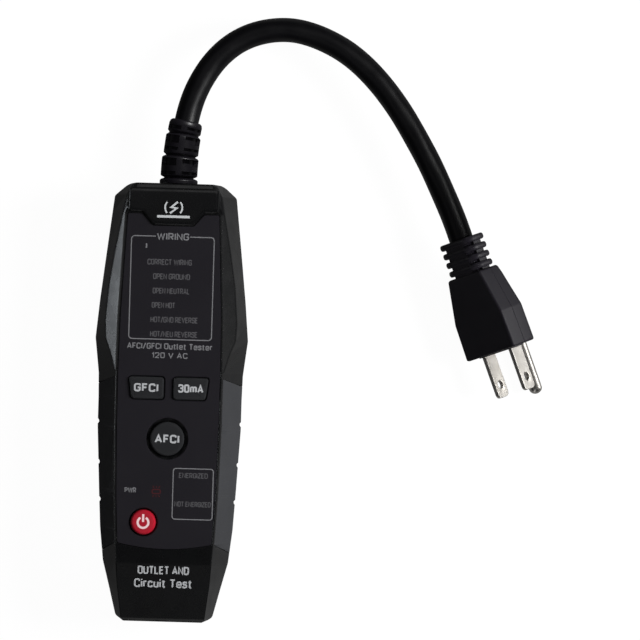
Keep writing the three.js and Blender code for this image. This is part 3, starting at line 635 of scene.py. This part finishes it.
def arc_points(x, y, radius, start, end, count=24):
    turns = [math.radians(start + (end - start) * k / count) for k in range(count + 1)]
    return [(x + radius * math.cos(t), y + radius * math.sin(t)) for t in turns]


def frame_line(x0, x1, y0, y1, corner, gap_half=0.0):
    """A rounded rectangle drawn as one line, open in the middle of its top by the gap."""
    middle = (x0 + x1) / 2
    path = [(middle + gap_half, y1)]
    for cx, cy, start in ((x1 - corner, y1 - corner, 90), (x1 - corner, y0 + corner, 0),
                          (x0 + corner, y0 + corner, -90), (x0 + corner, y1 - corner, -180)):
        path += arc_points(cx, cy, corner, start, start - 90, 6)
    path.append((middle - gap_half - (0.01 if gap_half == 0 else 0), y1))
    return path


def printed(name, parts, ink, body="case", slot="label"):
    return finish_piece(merged(name, parts), ink, body, slot)


def on_face(obj):
    """Lays flat printing on the sloping ends of the face."""
    for vertex in obj.data.vertices:
        vertex.co.z += (eased(FACE_HEIGHT, vertex.co.y / MM) - SKIN) * MM
    return obj


ROW_TEXT = [("CORRECT WIRING", -9, 7.1), ("OPEN GROUND", -6.8, 6.6), ("OPEN NEUTRAL", -6.8, 6.6),
            ("OPEN HOT", -7, 1.5), ("HOT/GND REVERSE", -7.3, 9.9), ("HOT/NEU REVERSE", -7.3, 9.9)]
ROW_FIRST, ROW_PITCH = 51.0, 5.22
LINE = 0.36

rows = [lettering(text, (x0 + x1) / 2, ROW_FIRST - ROW_PITCH * k, FACE_Z, x1 - x0, 2.1)
        for k, (text, x0, x1) in enumerate(ROW_TEXT)]
words = [lettering("ENERGIZED", 9.9, -26.1, FACE_Z, 10.5, 1.9),
         lettering("NOT ENERGIZED", 9.9, -36.5, FACE_Z, 13.2, 1.9)]
printed("lamp_words", rows + words, INK_DIM)
printed("panel_lines", [
    stroke(frame_line(-15, 15, 23, 60.3, 1.2, 6.2), LINE, FACE_Z),
    stroke(frame_line(2.6, 17.1, -42, -23.6, 1.0), LINE, FACE_Z),
    lettering("WIRING", 0, 60.3, FACE_Z, 11.6, 2.6, 0.18),
    lettering("AFCI/GFCI Outlet Tester", 0, 20.5, FACE_Z, 31, 2.2, 0.18),
    lettering("120 V AC", 0, 17.2, FACE_Z, 13, 2.1, 0.18),
    lettering("PWR", -12.8, -31.9, FACE_Z, 4.2, 1.9, 0.18),
], INK_GREY)
MARK_Y, MARK_ARC, MARK_Z = 70.8, 3.1, HOOD_TOP - INK
BOLT = [(1.5, 72.9), (-0.9, 70.9), (1.1, 70.6), (-1.3, 68.7)]
BAR_HALF, BAR_Y = 5.9, 67.5
printed("hood_mark", [
    stroke(BOLT, 0.75, MARK_Z),
    stroke(arc_points(0, MARK_Y, MARK_ARC, 140, 220), 0.6, MARK_Z),
    stroke(arc_points(0, MARK_Y, MARK_ARC, -40, 40), 0.6, MARK_Z),
    stroke([(-BAR_HALF, BAR_Y), (BAR_HALF, BAR_Y)], 0.9, MARK_Z)], INK_HOOD, "case", "shell")
LAMP_X, LAMP_Y, LAMP_HALF, LAMP_HIGH = -3.4, -32.2, 1.5, 0.75
lamp_frame = frame_line(LAMP_X - LAMP_HALF, LAMP_X + LAMP_HALF, LAMP_Y - LAMP_HIGH,
                        LAMP_Y + LAMP_HIGH, 0.6)
ticks = [[(LAMP_X + step, LAMP_Y + side * 1.35), (LAMP_X + 1.4 * step, LAMP_Y + side * 2.0)]
         for step in (-0.9, 0, 0.9) for side in (-1, 1)]
printed("lamp_symbol", [stroke(lamp_frame, 0.4, FACE_Z)]
        + [stroke(tick, 0.32, FACE_Z) for tick in ticks], LAMP_RED)
printed("lamp_glint", [stroke([(-9.5, 57.6), (-9.5, 56)], 0.5, FACE_Z)], INK_GREY)
printed("foot_words", [on_face(lettering("OUTLET AND", 0, -60.7, 0, 18.6, 3.0, 0.18)),
                       on_face(lettering("Circuit Test", 0, -65.5, 0, 21, 3.2, 0.18))],
        INK_WHITE, "case", "shell")


# ---------- cord path
def heading_across(axis):
    """The heading of a path whose sideways axis is given."""
    return math.atan2(axis.x, -axis.y)


def arcs_through(points, heading):
    """Arcs that join the points smoothly: each is (start, heading at the start, length, turn)."""
    arcs = []
    for start, end in zip(points, points[1:]):
        chord = end - start
        turn = 2 * (heading - math.atan2(chord.y, chord.x))
        length = chord.length if abs(turn) < 1e-6 else chord.length * (turn / 2) / math.sin(turn / 2)
        arcs.append((start.copy(), heading, length, turn))
        heading -= turn
    return arcs


def along_arc(arc, distance):
    """Position and heading after a distance along an arc; the arc goes on straight past its ends."""
    start, heading, length, turn = arc
    inside = min(max(distance, 0), length)
    part = turn * inside / length
    chord = inside if abs(part) < 1e-6 else 2 * inside * math.sin(part / 2) / part
    middle, last = heading - part / 2, heading - part
    point = start + Vector((math.cos(middle), math.sin(middle), 0)) * chord
    return point + Vector((math.cos(last), math.sin(last), 0)) * (distance - inside), last


def path_point(arc, distance, across, up):
    point, heading = along_arc(arc, distance)
    return point + Vector((math.sin(heading) * across, -math.cos(heading) * across, up))


CORD_COUNT = sum(name.startswith("cord_") for name in frame["nodes"])
PIVOTS = [joint("cord_lift")[0]] + [joint(f"cord_flex_{k}")[0] for k in range(1, CORD_COUNT)]
PIVOTS.append(joint("plug_bend")[0])
BOOT_X = 0.8
BOOT_ARC = arcs_through([Vector((BOOT_X, HALF_LENGTH, CORD_Z)), PIVOTS[0]], math.pi / 2)[0]
ARCS = [BOOT_ARC] + arcs_through(PIVOTS, heading_across(joint("cord_lift")[1]))
JACKET_START, SPAN_STEPS, BEND_MARGIN = 1.5, 10, 0.5
CORD_SIDES, TWIST_PITCH, TWIST_DEPTH = 40, 70, 0.05


def cord_ring(arc, distance, run):
    """One ring of the jacket, faintly raised where its three cores pass under it."""
    ring = []
    for i in range(CORD_SIDES):
        turn = 2 * math.pi * i / CORD_SIDES
        lift = TWIST_DEPTH * math.cos(3 * (turn + 2 * math.pi * run / TWIST_PITCH))
        radius = CORD_RADIUS - TWIST_DEPTH + lift
        ring.append(path_point(arc, distance, radius * math.cos(turn), radius * math.sin(turn)))
    return ring


def cord_span(index, run):
    """The jacket from the middle of one cord body to the middle of the next, curving across their
    joint.
    """
    before, last = ARCS[index], index == CORD_COUNT
    start = before[2] / 2 if index else JACKET_START
    rings = []
    for k in range(SPAN_STEPS):
        at = start + (before[2] - start) * k / SPAN_STEPS
        rings.append(cord_ring(before, at, run + at - before[2]))
    if last:
        rings += [cord_ring(before, before[2] + at, run + at) for at in (0, 0.8, 1.6)]
    else:
        after = ARCS[index + 1]
        for k in range(SPAN_STEPS + 1):
            at = after[2] / 2 * k / SPAN_STEPS
            rings.append(cord_ring(after, at, run + at))
    obj = loft(f"jacket_{index + 1}", rings)
    soft_shading(obj, 50, weighted=False)
    obj.data.materials.append(CORD)
    return obj


def build_cord():
    """Jacket pieces that each span one joint, from inside the case relief to the plug."""
    run = 0.0
    for index, before in enumerate(ARCS):
        obj = cord_span(index, run)
        if index < CORD_COUNT:
            after = ARCS[index + 1]
            run += after[2]
        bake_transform(obj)
        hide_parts(*([f"cord_{index + 1}"] if index < CORD_COUNT else []))


build_cord()


# ---------- case relief
BOOT_LENGTH = 23.5
BOOT_BORE = CORD_RADIUS + 0.25
BOOT_CORE = 5.15
BOOT_RIB_TOP, BOOT_RIB_SIDE = 1.1, 1.0
BOOT_SLOTS = [(4.1, 1.2), (8.0, 2.6), (12.9, 1.1), (16.3, 2.8), (20.6, 1.3)]


BOOT_ROOT = [(-7, 7), (-2.8, 7), (-2.8, 5.7), (0.1, 5.7), (0.12, 6.75), (0.3, 6.97)]
BOOT_BANDS = [(0.2, 1.8, 6.98), (2.9, 9.9, 6.75), (10.9, 17.9, 6.4), (18.9, 22.4, 6.1)]


def boot_profile():
    """Distance and radius pairs down the outside of the relief, then back up its bore."""
    outside = list(BOOT_ROOT)
    for start, end, radius in BOOT_BANDS:
        if start > 1:
            outside += [(start - 0.75, 5.35), (start - 0.35, 5.45), (start, radius - 0.45),
                        (start + 0.25, radius - 0.12)]
        span = end - start - 0.9
        outside += [(start + 0.45 + span * k / 6, radius) for k in range(7)]
        if end < 22:
            outside += [(end - 0.2, radius - 0.12), (end + 0.1, radius - 0.45), (end + 0.5, 5.45)]
    outside += [(22.9, 5.85), (23.3, 5.4), (BOOT_LENGTH, BOOT_BORE + 0.35), (BOOT_LENGTH, BOOT_BORE)]
    return outside + [(at, BOOT_BORE) for at in (20, 15, 10, 5, 0, -7)]


def slot_tool():
    """The corner pockets of the relief: everything outside its core, between the four ribs."""
    reach = 9
    start = math.asin(BOOT_RIB_SIDE / BOOT_CORE)
    end = math.acos(BOOT_RIB_TOP / BOOT_CORE)
    arc = [(BOOT_CORE * math.cos(t), BOOT_CORE * math.sin(t))
           for t in (start + (end - start) * k / 8 for k in range(9))]
    corner = arc + [(BOOT_RIB_TOP, reach), (reach, reach), (reach, BOOT_RIB_SIDE)]
    tools = []
    for middle, height in BOOT_SLOTS:
        for side_x, side_z in ((1, 1), (-1, 1), (1, -1), (-1, -1)):
            tools.append(loft("slot", [[(side_x * x, middle + step * height / 2, side_z * z)
                                        for x, z in corner] for step in (-1, 1)]))
    return merged("slots", tools)


def case_relief():
    sides = 96
    profile = boot_profile()
    rings = []
    for i in range(sides):
        turn = 2 * math.pi * i / sides
        rings.append([(r * math.cos(turn), at, r * math.sin(turn)) for at, r in profile])
    boot = loft("relief_boot", rings, closed=True)
    cut(boot, slot_tool())
    tidy(boot)
    for vertex in boot.data.vertices:
        across, distance, up = vertex.co / MM
        vertex.co = path_point(BOOT_ARC, distance, across, up) * MM
    soft_shading(boot, 38)
    return finish_piece(boot, PLUG, "case", "plug", "case_strain_relief")


case_relief()


# ---------- plug
def plug_axes():
    """The plug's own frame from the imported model: origin, and its X, Y and Z axes."""
    low_line, high_line = node_box("line_blade")
    low_neutral, high_neutral = node_box("neutral_blade")
    line, neutral = (low_line + high_line) / 2, (low_neutral + high_neutral) / 2
    face, forward = placed(frame["record"]["mounts"], "plug_face")
    z_axis = -forward
    x_axis = (neutral - line).normalized()
    x_axis = (x_axis - z_axis * x_axis.dot(z_axis)).normalized()
    y_axis = z_axis.cross(x_axis)
    middle = (line + neutral) / 2
    origin = middle + z_axis * (face - middle).dot(z_axis)
    return origin, x_axis, y_axis, z_axis


PLUG_ORIGIN, PLUG_X, PLUG_Y, PLUG_Z = plug_axes()
PLUG_LENGTH, PLUG_REAR_Y, PLUG_POCKET = 30.4, -0.8, 8
BLADE_SPACING, BLADE_WIDTH, BLADE_THICK, BLADE_LENGTH = 12.7, 6.35, 1.5, 16.6
BLADE_HOLE, BLADE_HOLE_INSET, BLADE_CORNER = 1.5, 4.8, 2
PIN_Y, PIN_RADIUS, PIN_LENGTH = 11.9, 2.4, 19.6
BRIDGE_HALF = (9.4, 3.7)
BRIDGE_DEPTH, BRIDGE_PROUD = 5, 0.4
RIB_COUNT, RIB_FIRST, RIB_PITCH, RIB_THICK = 4, 31.1, 3.35, 2.3
RIB_HALF, RIB_CORNER, RIB_EDGE, RIB_CORE = (7.8, 6), 4.4, 0.85, 5.2
# Sections of the moulding: distance behind the face, half width, flat side, top of the flanks, centre
# and radius of the nose over the ground pin.
PLUG_SECTIONS = [(0, 11.6, -7, 6.4, 11.9, 5), (14, 11.3, -7, 6.6, 11.6, 4.9),
                 (31, 7.6, -6.8, 5.7, 4.9, 3.8)]
PLUG_STATIONS = (2, 5, 8, 11, 13, 13.6, 13.85, 14, 14.15, 14.4, 15, 18, 21, 24, 27)
PLUG_EDGE = 0.8
RIB_WEBS = [[(-4, -5.6), (4.4, -5.6), (1.6, -2), (-2, -2)],
            [(-5.3, -1.4), (6.2, -1.4), (6.2, 3), (-5.3, 3)],
            [(-2, 2), (2, 2), (4, 5.2), (-4, 5.2)]]
SEAM_HALF, SEAM_DEPTH = 0.14, 0.1


def in_plug(obj):
    """Moves a piece built in the plug's frame into place."""
    turn = Matrix((PLUG_X, PLUG_Y, PLUG_Z)).transposed().to_4x4()
    obj.data.transform(Matrix.Translation(PLUG_ORIGIN * MM) @ turn)
    return obj


def plug_section(z):
    """The section's sizes at a distance behind the face, straight between the three main ones."""
    z = min(max(z, 0), PLUG_LENGTH)
    for low, high in zip(PLUG_SECTIONS, PLUG_SECTIONS[1:]):
        if z <= high[0]:
            t = (z - low[0]) / (high[0] - low[0])
            return [a + (b - a) * t for a, b in zip(low[1:], high[1:])]
    return PLUG_SECTIONS[-1][1:]


def plug_ring(z, inset):
    half, flat, flank, nose, radius = (sum(values) / 5 for values in zip(
        *(plug_section(z + step * 0.3) for step in (-1, -0.5, 0, 0.5, 1))))
    half, flat, radius = half - inset, flat + inset, radius - inset
    turns = [math.radians(8 + 164 * k / 22) for k in range(23)]
    nose_points = [(radius * math.cos(t), nose + radius * math.sin(t)) for t in turns]
    flank = min(flank, nose)
    side = [(half, -SEAM_HALF), (half - SEAM_DEPTH, 0), (half, SEAM_HALF)]
    right = rounded([(0, flat), (half, flat), (half, flank - 0.6)], [0, PLUG_EDGE, 0], 5)
    corner = [p for p in right if p[0] > 0.01 and p[1] < -SEAM_HALF - 0.2]
    below, bend, shoulder = Vector((half, flank - 1.4)), Vector((half, flank)), Vector(nose_points[0])
    curve = [below.lerp(bend, t).lerp(bend.lerp(shoulder, t * 0.35), t) for t in (0, 0.33, 0.66, 1)]
    right_side = [tuple(p) for p in corner] + side + [tuple(p) for p in curve]
    left_side = [(-x, y) for x, y in reversed(right_side)]
    return [(x, y, z) for x, y in right_side + nose_points + left_side]


def rib_ring(half_width, half_height, z, corner):
    corners = [(sx * half_width, sy * half_height) for sx, sy in ((1, 1), (-1, 1), (-1, -1), (1, -1))]
    return [(x, PLUG_REAR_Y + y, z) for x, y in rounded(corners, corner, 6)]


def rib(z):
    """One rib of the cord relief: a rounded plate with a soft rim."""
    rings = []
    for step in range(7):
        turn = math.pi * step / 6
        inset = RIB_EDGE * (1 - math.sin(turn) ** 0.7)
        at = z + RIB_THICK * (1 - math.cos(turn)) / 2
        rings.append(rib_ring(RIB_HALF[0] - inset, RIB_HALF[1] - inset, at, RIB_CORNER - inset))
    return loft("rib", rings)


def cut_blade_slots(obj, slack, low, high):
    """Cuts the two blade pockets between two depths, with some slack all round."""
    for side in (-1, 1):
        x = side * BLADE_SPACING / 2
        cut(obj, block((x - BLADE_THICK / 2 - slack, -BLADE_WIDTH / 2 - slack, low),
                       (x + BLADE_THICK / 2 + slack, BLADE_WIDTH / 2 + slack, high)))


def plug_body():
    edge = [(PLUG_EDGE * (1 - math.cos(t)), PLUG_EDGE * (1 - math.sin(t)))
            for t in (math.pi / 2 * k / 4 for k in range(5))]
    stations = edge + [(z, 0) for z in PLUG_STATIONS]
    stations += [(PLUG_LENGTH - z, inset) for z, inset in reversed(edge)]
    body = loft("plug_shell", [plug_ring(z, inset) for z, inset in stations])
    rear = RIB_FIRST + RIB_PITCH * (RIB_COUNT - 1) + RIB_THICK
    low = PLUG_LENGTH - 2
    inner = [(circle(0, 0, RIB_CORE, 48), rear - 0.3)] + [(outline, rear - 1) for outline in RIB_WEBS]
    inner = [loft("web", [[(x, PLUG_REAR_Y + y, z) for x, y in outline] for z in (low, high)])
             for outline, high in inner]
    for part in inner + [rib(RIB_FIRST + RIB_PITCH * k) for k in range(RIB_COUNT)]:
        combine(body, part, "UNION")
    cut(body, pillow("bridge_pocket", bridge_outline, [(0.05, -1), (0.05, BRIDGE_DEPTH + 0.1)]))
    cut_blade_slots(body, 0.1, -1, PLUG_POCKET + 0.1)
    hole = circle(0, PIN_Y, PIN_RADIUS + 0.08, 48)
    cut(body, loft("pin_hole", [[(x, y, z) for x, y in hole] for z in (-1, PLUG_POCKET + 0.1)]))
    bore = circle(0, PLUG_REAR_Y, CORD_RADIUS + 0.1, 48)
    cut(body, loft("cord_bore", [[(x, y, z) for x, y in bore] for z in (rear - 1.2, rear + 3)]))
    in_plug(tidy(body))
    soft_shading(body, 34)
    return finish_piece(body, PLUG, "plug", "plug", "plug_body")


def bridge_outline(grow):
    x, y = BRIDGE_HALF[0] + grow, BRIDGE_HALF[1] + grow
    return rounded([(x, y), (-x, y), (-x, -y), (x, -y)], 3, 8)


def plug_bridge():
    piece = pillow("blade_bridge", bridge_outline, [
        (-0.3, -BRIDGE_PROUD), (-0.08, 0.08 - BRIDGE_PROUD), (0, 0.3 - BRIDGE_PROUD),
        (0, BRIDGE_DEPTH)])
    cut_blade_slots(piece, 0.05, -3, BRIDGE_DEPTH + 2)
    in_plug(tidy(piece))
    soft_shading(piece, 40)
    return finish_piece(piece, BRIDGE, "plug", "bridge", "plug_bridge")


def plate(name, outlines, thickness, bevel):
    """A flat plate with softened edges from 2-D outlines, the first solid and the rest holes."""
    curve = bpy.data.curves.new(name, "CURVE")
    curve.dimensions, curve.fill_mode = "2D", "BOTH"
    for outline in outlines:
        spline = curve.splines.new("POLY")
        spline.points.add(len(outline) - 1)
        for point, (x, y) in zip(spline.points, outline):
            point.co = (x * MM, y * MM, 0, 1)
        spline.use_cyclic_u = True
    curve.extrude = (thickness / 2 - bevel) * MM
    curve.bevel_depth, curve.bevel_resolution, curve.offset = bevel * MM, 2, -bevel * MM
    source = new_object(name, curve)
    mesh = evaluated_mesh(source)
    bpy.data.objects.remove(source)
    return tidy(new_object(name, mesh))


def blade(name, side):
    half = BLADE_WIDTH / 2
    corners = [(PLUG_POCKET, -half), (PLUG_POCKET, half), (-BLADE_LENGTH, half), (-BLADE_LENGTH, -half)]
    outline = rounded(corners, [0.2, 0.2, BLADE_CORNER, BLADE_CORNER], 8)
    hole = circle(-BLADE_LENGTH + BLADE_HOLE_INSET, 0, BLADE_HOLE, 40)[::-1]
    piece = plate(f"{name}_plate", [outline, hole], BLADE_THICK, 0.18)
    stand = Matrix(((0, 0, 1), (0, 1, 0), (1, 0, 0))).to_4x4()
    piece.data.transform(Matrix.Translation((side * BLADE_SPACING / 2 * MM, 0, 0)) @ stand)
    in_plug(tidy(piece))
    soft_shading(piece, 40)
    return finish_piece(piece, NICKEL, "plug", "nickel", name)


def ground_pin():
    profile = [(0.05, -PIN_LENGTH)]
    profile += [(PIN_RADIUS * math.sin(t), -PIN_LENGTH + PIN_RADIUS * 0.9 * (1 - math.cos(t)))
                for t in (math.pi / 2 * k / 10 for k in range(1, 11))]
    profile += [(PIN_RADIUS, z) for z in (-14, -10, -5, 0, PLUG_POCKET)]
    rings = [[(x, y, z) for x, y in circle(0, PIN_Y, radius, 48)] for radius, z in profile]
    pin = in_plug(loft("ground_pin_rod", rings))
    soft_shading(pin, 40, weighted=False)
    return finish_piece(pin, NICKEL, "plug", "nickel", "ground_pin")


plug_body()
plug_bridge()
blade("line_blade", -1)
blade("neutral_blade", 1)
ground_pin()


# ---------- key legends
KEY_WORDS = [("gfci", "GFCI", -8.1, 5.4, 8.8, 3.05, 0.21), ("current", "30mA", 8.1, 5.4, 9.1, 3.0, 0.2),
             ("breaker", "AFCI", *BREAKER[:2], 8.9, 3.1, 0.21)]
for key, text, x, y, width, height, weight in KEY_WORDS:
    legend = lettering(text, x, y, KEY_TOP, width, height, weight)
    printed(f"{key}_mark", [legend], INK_WHITE, f"{key}_key", "key")
printed("power_mark", [
    stroke(arc_points(POWER[0], POWER[1] - 0.1, 1.95, 120, 420), 0.8, KEY_TOP),
    stroke([(POWER[0], POWER[1] + 0.1), (POWER[0], POWER[1] + 2.9)], 0.8, KEY_TOP)],
    INK_PINK, "power_key", "red_key")


cover("battery_door", "battery_door_cover", "battery_door")


# ---------- hidden parts
def board_surface():
    """Green solder mask with a faint net of traces and pads."""
    surface = Surface("board_mask", (0.012, 0.09, 0.035), 0.35)
    weave = surface.node("ShaderNodeTexVoronoi", {"Vector": surface.place}, Scale=1 / (3.2 * MM),
                         distance="MANHATTAN").outputs["Distance"]
    surface.tint((0.03, 0.20, 0.08), surface.remap(weave, 0.0, 0.8, 0.2, 0.35))
    surface.bump(weave, 0.02)
    return surface.done()


def glass_surface():
    surface = Surface("fuse_glass", (0.75, 0.78, 0.80), 0.08)
    surface.shader.inputs["Transmission Weight"].default_value = 0.7
    surface.vary_roughness(surface.noise(1.5), 0.04)
    return surface.done()


SLOT_LOOKS = {
    "shell": SHELL, "label": LABEL, "key": KEY, "red_key": RED, "grip": GRIP, "cord": CORD,
    "plug": PLUG, "bridge": BRIDGE, "nickel": NICKEL, "screw": STEEL, "board": board_surface(),
    "fuse": glass_surface(),
    "component": moulded("epoxy_part", (0.02, 0.02, 0.021), 0.45, (0.04, 0.04, 0.042), 0.2, 0.01),
    "ceramic": moulded("ceramic_part", (0.62, 0.57, 0.47), 0.7, (0.72, 0.68, 0.6), 0.25, 0.03),
    "capacitor": moulded("capacitor_sleeve", (0.02, 0.035, 0.16), 0.3, (0.05, 0.08, 0.26), 0.5, 0.01),
    "lamp": moulded("lamp_epoxy", (0.55, 0.54, 0.5), 0.15, (0.7, 0.7, 0.66), 0.5, 0.004),
    "baffle": moulded("light_guide", (0.6, 0.6, 0.57), 0.5, (0.7, 0.7, 0.68), 0.4, 0.01),
    "battery": moulded("battery_can", (0.06, 0.065, 0.08), 0.3, (0.14, 0.15, 0.17), 0.8, 0.01),
    "wire_black": moulded("insulation_black", (0.012, 0.012, 0.013), 0.35, (0.03, 0.03, 0.03), 0.4,
                          0.01),
    "wire_white": moulded("insulation_white", (0.6, 0.6, 0.57), 0.35, (0.7, 0.7, 0.68), 0.4, 0.01),
    "wire_green": moulded("insulation_green", (0.015, 0.16, 0.04), 0.35, (0.03, 0.24, 0.08), 0.4, 0.01),
    "wire_red": moulded("insulation_red", (0.40, 0.015, 0.02), 0.35, (0.5, 0.04, 0.05), 0.4, 0.01),
}
NODE_SLOTS = {part["node"]: part["material_slot"] for part in frame["record"]["subparts"]}


def dress_cad_nodes():
    """Every CAD node that still shows gets the material of its slot."""
    for node, obj in frame["nodes"].items():
        if obj.hide_render:
            continue
        obj.data.materials.clear()
        obj.data.materials.append(SLOT_LOOKS[NODE_SLOTS[node]])


# ---------- stage
def ray_mix(tree, first, second, ray):
    """Shows the second shader to one kind of ray and the first to all the others."""
    path = tree.nodes.new("ShaderNodeLightPath")
    return add_node(tree, "ShaderNodeMixShader", {0: path.outputs[ray], 1: first, 2: second}).outputs[0]


FLOOR_HALF = 2.5
FLOOR_SEEN, FLOOR_SHADOWED = 1.03, 0.06
FLOOR_FELT_LEFT, FLOOR_FELT_RIGHT, FLOOR_FADE = 0.05, 0.17, 0.03


def make_floor():
    """A pale floor that reads near white to the camera and mid grey in reflections."""
    corners = [(-1, -1, 0), (1, -1, 0), (1, 1, 0), (-1, 1, 0)]
    floor = mesh_object("floor", [Vector(c) * FLOOR_HALF / MM for c in corners], [(0, 1, 2, 3)])
    floor.location.z = CAD_BOX[0].z - 0.0002
    material = bpy.data.materials.new("pale_floor")
    material.use_nodes = True
    tree = material.node_tree
    tree.nodes.clear()
    white = add_node(tree, "ShaderNodeBsdfDiffuse", Color=(0.9, 0.9, 0.9, 1)).outputs[0]
    bright = add_node(tree, "ShaderNodeEmission", Strength=FLOOR_SEEN).outputs[0]
    seen = add_node(tree, "ShaderNodeMixShader", {1: bright, 2: white}, Fac=FLOOR_SHADOWED).outputs[0]
    place = add_node(tree, "ShaderNodeTexCoord").outputs["Object"]
    side = add_node(tree, "ShaderNodeSeparateXYZ", {0: place}).outputs["X"]
    fade = add_node(tree, "ShaderNodeMapRange", {"Value": side}, From_Min=-FLOOR_FADE,
                    From_Max=FLOOR_FADE, To_Min=FLOOR_FELT_LEFT, To_Max=FLOOR_FELT_RIGHT)
    felt = add_node(tree, "ShaderNodeEmission", {"Strength": fade.outputs["Result"]}).outputs[0]
    shown = ray_mix(tree, felt, seen, "Is Camera Ray")
    add_node(tree, "ShaderNodeOutputMaterial", {"Surface": shown})
    floor.data.materials.append(material)


def make_world(seen, felt):
    world = bpy.data.worlds.new("studio")
    world.use_nodes = True
    tree = world.node_tree
    tree.nodes.clear()
    dim, pale = (add_node(tree, "ShaderNodeBackground", Color=(1, 1, 1, 1), Strength=level).outputs[0]
                 for level in (felt, seen))
    add_node(tree, "ShaderNodeOutputWorld", {"Surface": ray_mix(tree, dim, pale, "Is Camera Ray")})
    bpy.context.scene.world = world


SOFTBOX_AIM = (0.05, 0.03, 0.02)


def aimed(light, place, aim):
    """Puts a light at a place, turned towards its aim and never seen directly."""
    obj = new_object(light.name, light)
    obj.location = place
    obj.rotation_euler = (Vector(aim) - Vector(place)).to_track_quat("-Z", "Y").to_euler()
    obj.visible_camera = False
    return obj


def softbox(name, place, size, power, diffuse=True, glossy=True, colour=(1, 1, 1)):
    """A rectangular light aimed at the object; it may serve diffuse or glossy reflections only."""
    light = bpy.data.lights.new(name, "AREA")
    light.shape, light.size, light.size_y, light.energy = "RECTANGLE", size[0], size[1], power
    light.color = colour
    obj = aimed(light, place, SOFTBOX_AIM)
    obj.visible_diffuse, obj.visible_glossy = diffuse, glossy
    return obj


def link_light(light, state, *starts):
    """Makes a light reach only (INCLUDE) or miss (EXCLUDE) the pieces named by their first letters."""
    group = bpy.data.collections.new(f"{light.name}_receivers")
    for obj in bpy.data.objects:
        if obj.type == "MESH" and obj.name.startswith(starts):
            group.objects.link(obj)
    for entry in group.collection_objects:
        entry.light_linking.link_state = state
    light.light_linking.receiver_collection = group


def spot(name, place, aim, radius, power, spread):
    """A soft-edged spot light whose cone is spread metres wide at its aim."""
    light = bpy.data.lights.new(name, "SPOT")
    light.energy, light.shadow_soft_size, light.spot_blend = power, radius, 1.0
    light.spot_size = 2 * math.atan(spread / 2 / (Vector(aim) - Vector(place)).length)
    return aimed(light, place, aim)


CAMERA_DISTANCE, CAMERA_FILL, CAMERA_ROLL = 1.5, 0.948, 1.67
CAMERA_OFFSET = Vector((-0.0003, 0.0005, 0))


def make_camera():
    low, high = CAD_BOX
    data = bpy.data.cameras.new("camera")
    camera = new_object("camera", data)
    distance, width = CAMERA_DISTANCE, (high.y - low.y) / CAMERA_FILL
    data.sensor_width, data.lens, data.clip_end = 36, 36 * distance / width, 20
    middle = (low + high) / 2 + CAMERA_OFFSET
    camera.location = (middle.x, middle.y, distance + 0.02)
    camera.rotation_euler = (0, 0, math.radians(CAMERA_ROLL))
    bpy.context.scene.camera = camera


WORLD_SEEN, WORLD_FELT = 0.97, 0.01
SPOT_SPREAD = 0.12
RIM_REACH, RIM_HEIGHT, RIM_SIZE, RIM_POWER = 1.1, 0.45, (0.35, 1.2), 0.8


def make_lights():
    """A diffuse key and fill, glossy cards for single groups of pieces, spots on the cord, and rims."""
    key = softbox("key_right", (0.78, 0.10, 0.55), (0.35, 0.35), 12.2, glossy=False)
    link_light(key, "EXCLUDE", "jacket", "relief")
    softbox("fill_top", (0.05, 0.03, 1.2), (0.8, 0.8), 3.1, glossy=False)
    softbox("sheen_top", (0.05, 0.03, 1.2), (1.6, 1.6), 0.97, diffuse=False)
    for name, place, size, power, colour, *pieces in (
            ("card_left", (-0.70, 0.30, 0.06), (0.8, 0.16), 2.4, (0.88, 0.94, 1.0),
             "front_cover", "rear_cover", "gfci", "current"),
            ("card_plug", (0.62, 0.20, 0.04), (0.28, 0.12), 0.9, (1, 1, 1), "plug_shell"),
            ("card_blades", (0.60, 0.23, 0.03), (0.7, 0.5), 4.4, (1, 1, 1),
             "line_blade", "neutral_blade"),
            ("card_pin", (0.60, 0.23, 0.06), (0.5, 0.3), 1.5, (1, 1, 1), "ground_pin")):
        link_light(softbox(name, place, size, power, diffuse=False, colour=colour), "INCLUDE", *pieces)
    for name, place, aim, radius, power, piece in (
            ("spot_boot", (0.45, 0.62, 0.46), (0.005, 0.10, 0.015), 0.05, 34, "relief"),
            ("spot_cord", (0.61, 0.20, 0.51), (0.008, 0.125, 0.015), 0.06, 42, "jacket")):
        link_light(spot(name, place, aim, radius, power, SPOT_SPREAD), "INCLUDE", piece)
    for turn in range(0, 360, 90):
        side = math.radians(turn)
        place = (RIM_REACH * math.cos(side), RIM_REACH * math.sin(side), RIM_HEIGHT)
        rim = softbox(f"rim_{turn}", place, RIM_SIZE, RIM_POWER, diffuse=False)
        link_light(rim, "EXCLUDE", "jacket", "relief", "label")


dress_cad_nodes()
make_floor()
make_world(WORLD_SEEN, WORLD_FELT)
make_lights()
make_camera()
bpy.context.scene.view_settings.view_transform = "Standard"
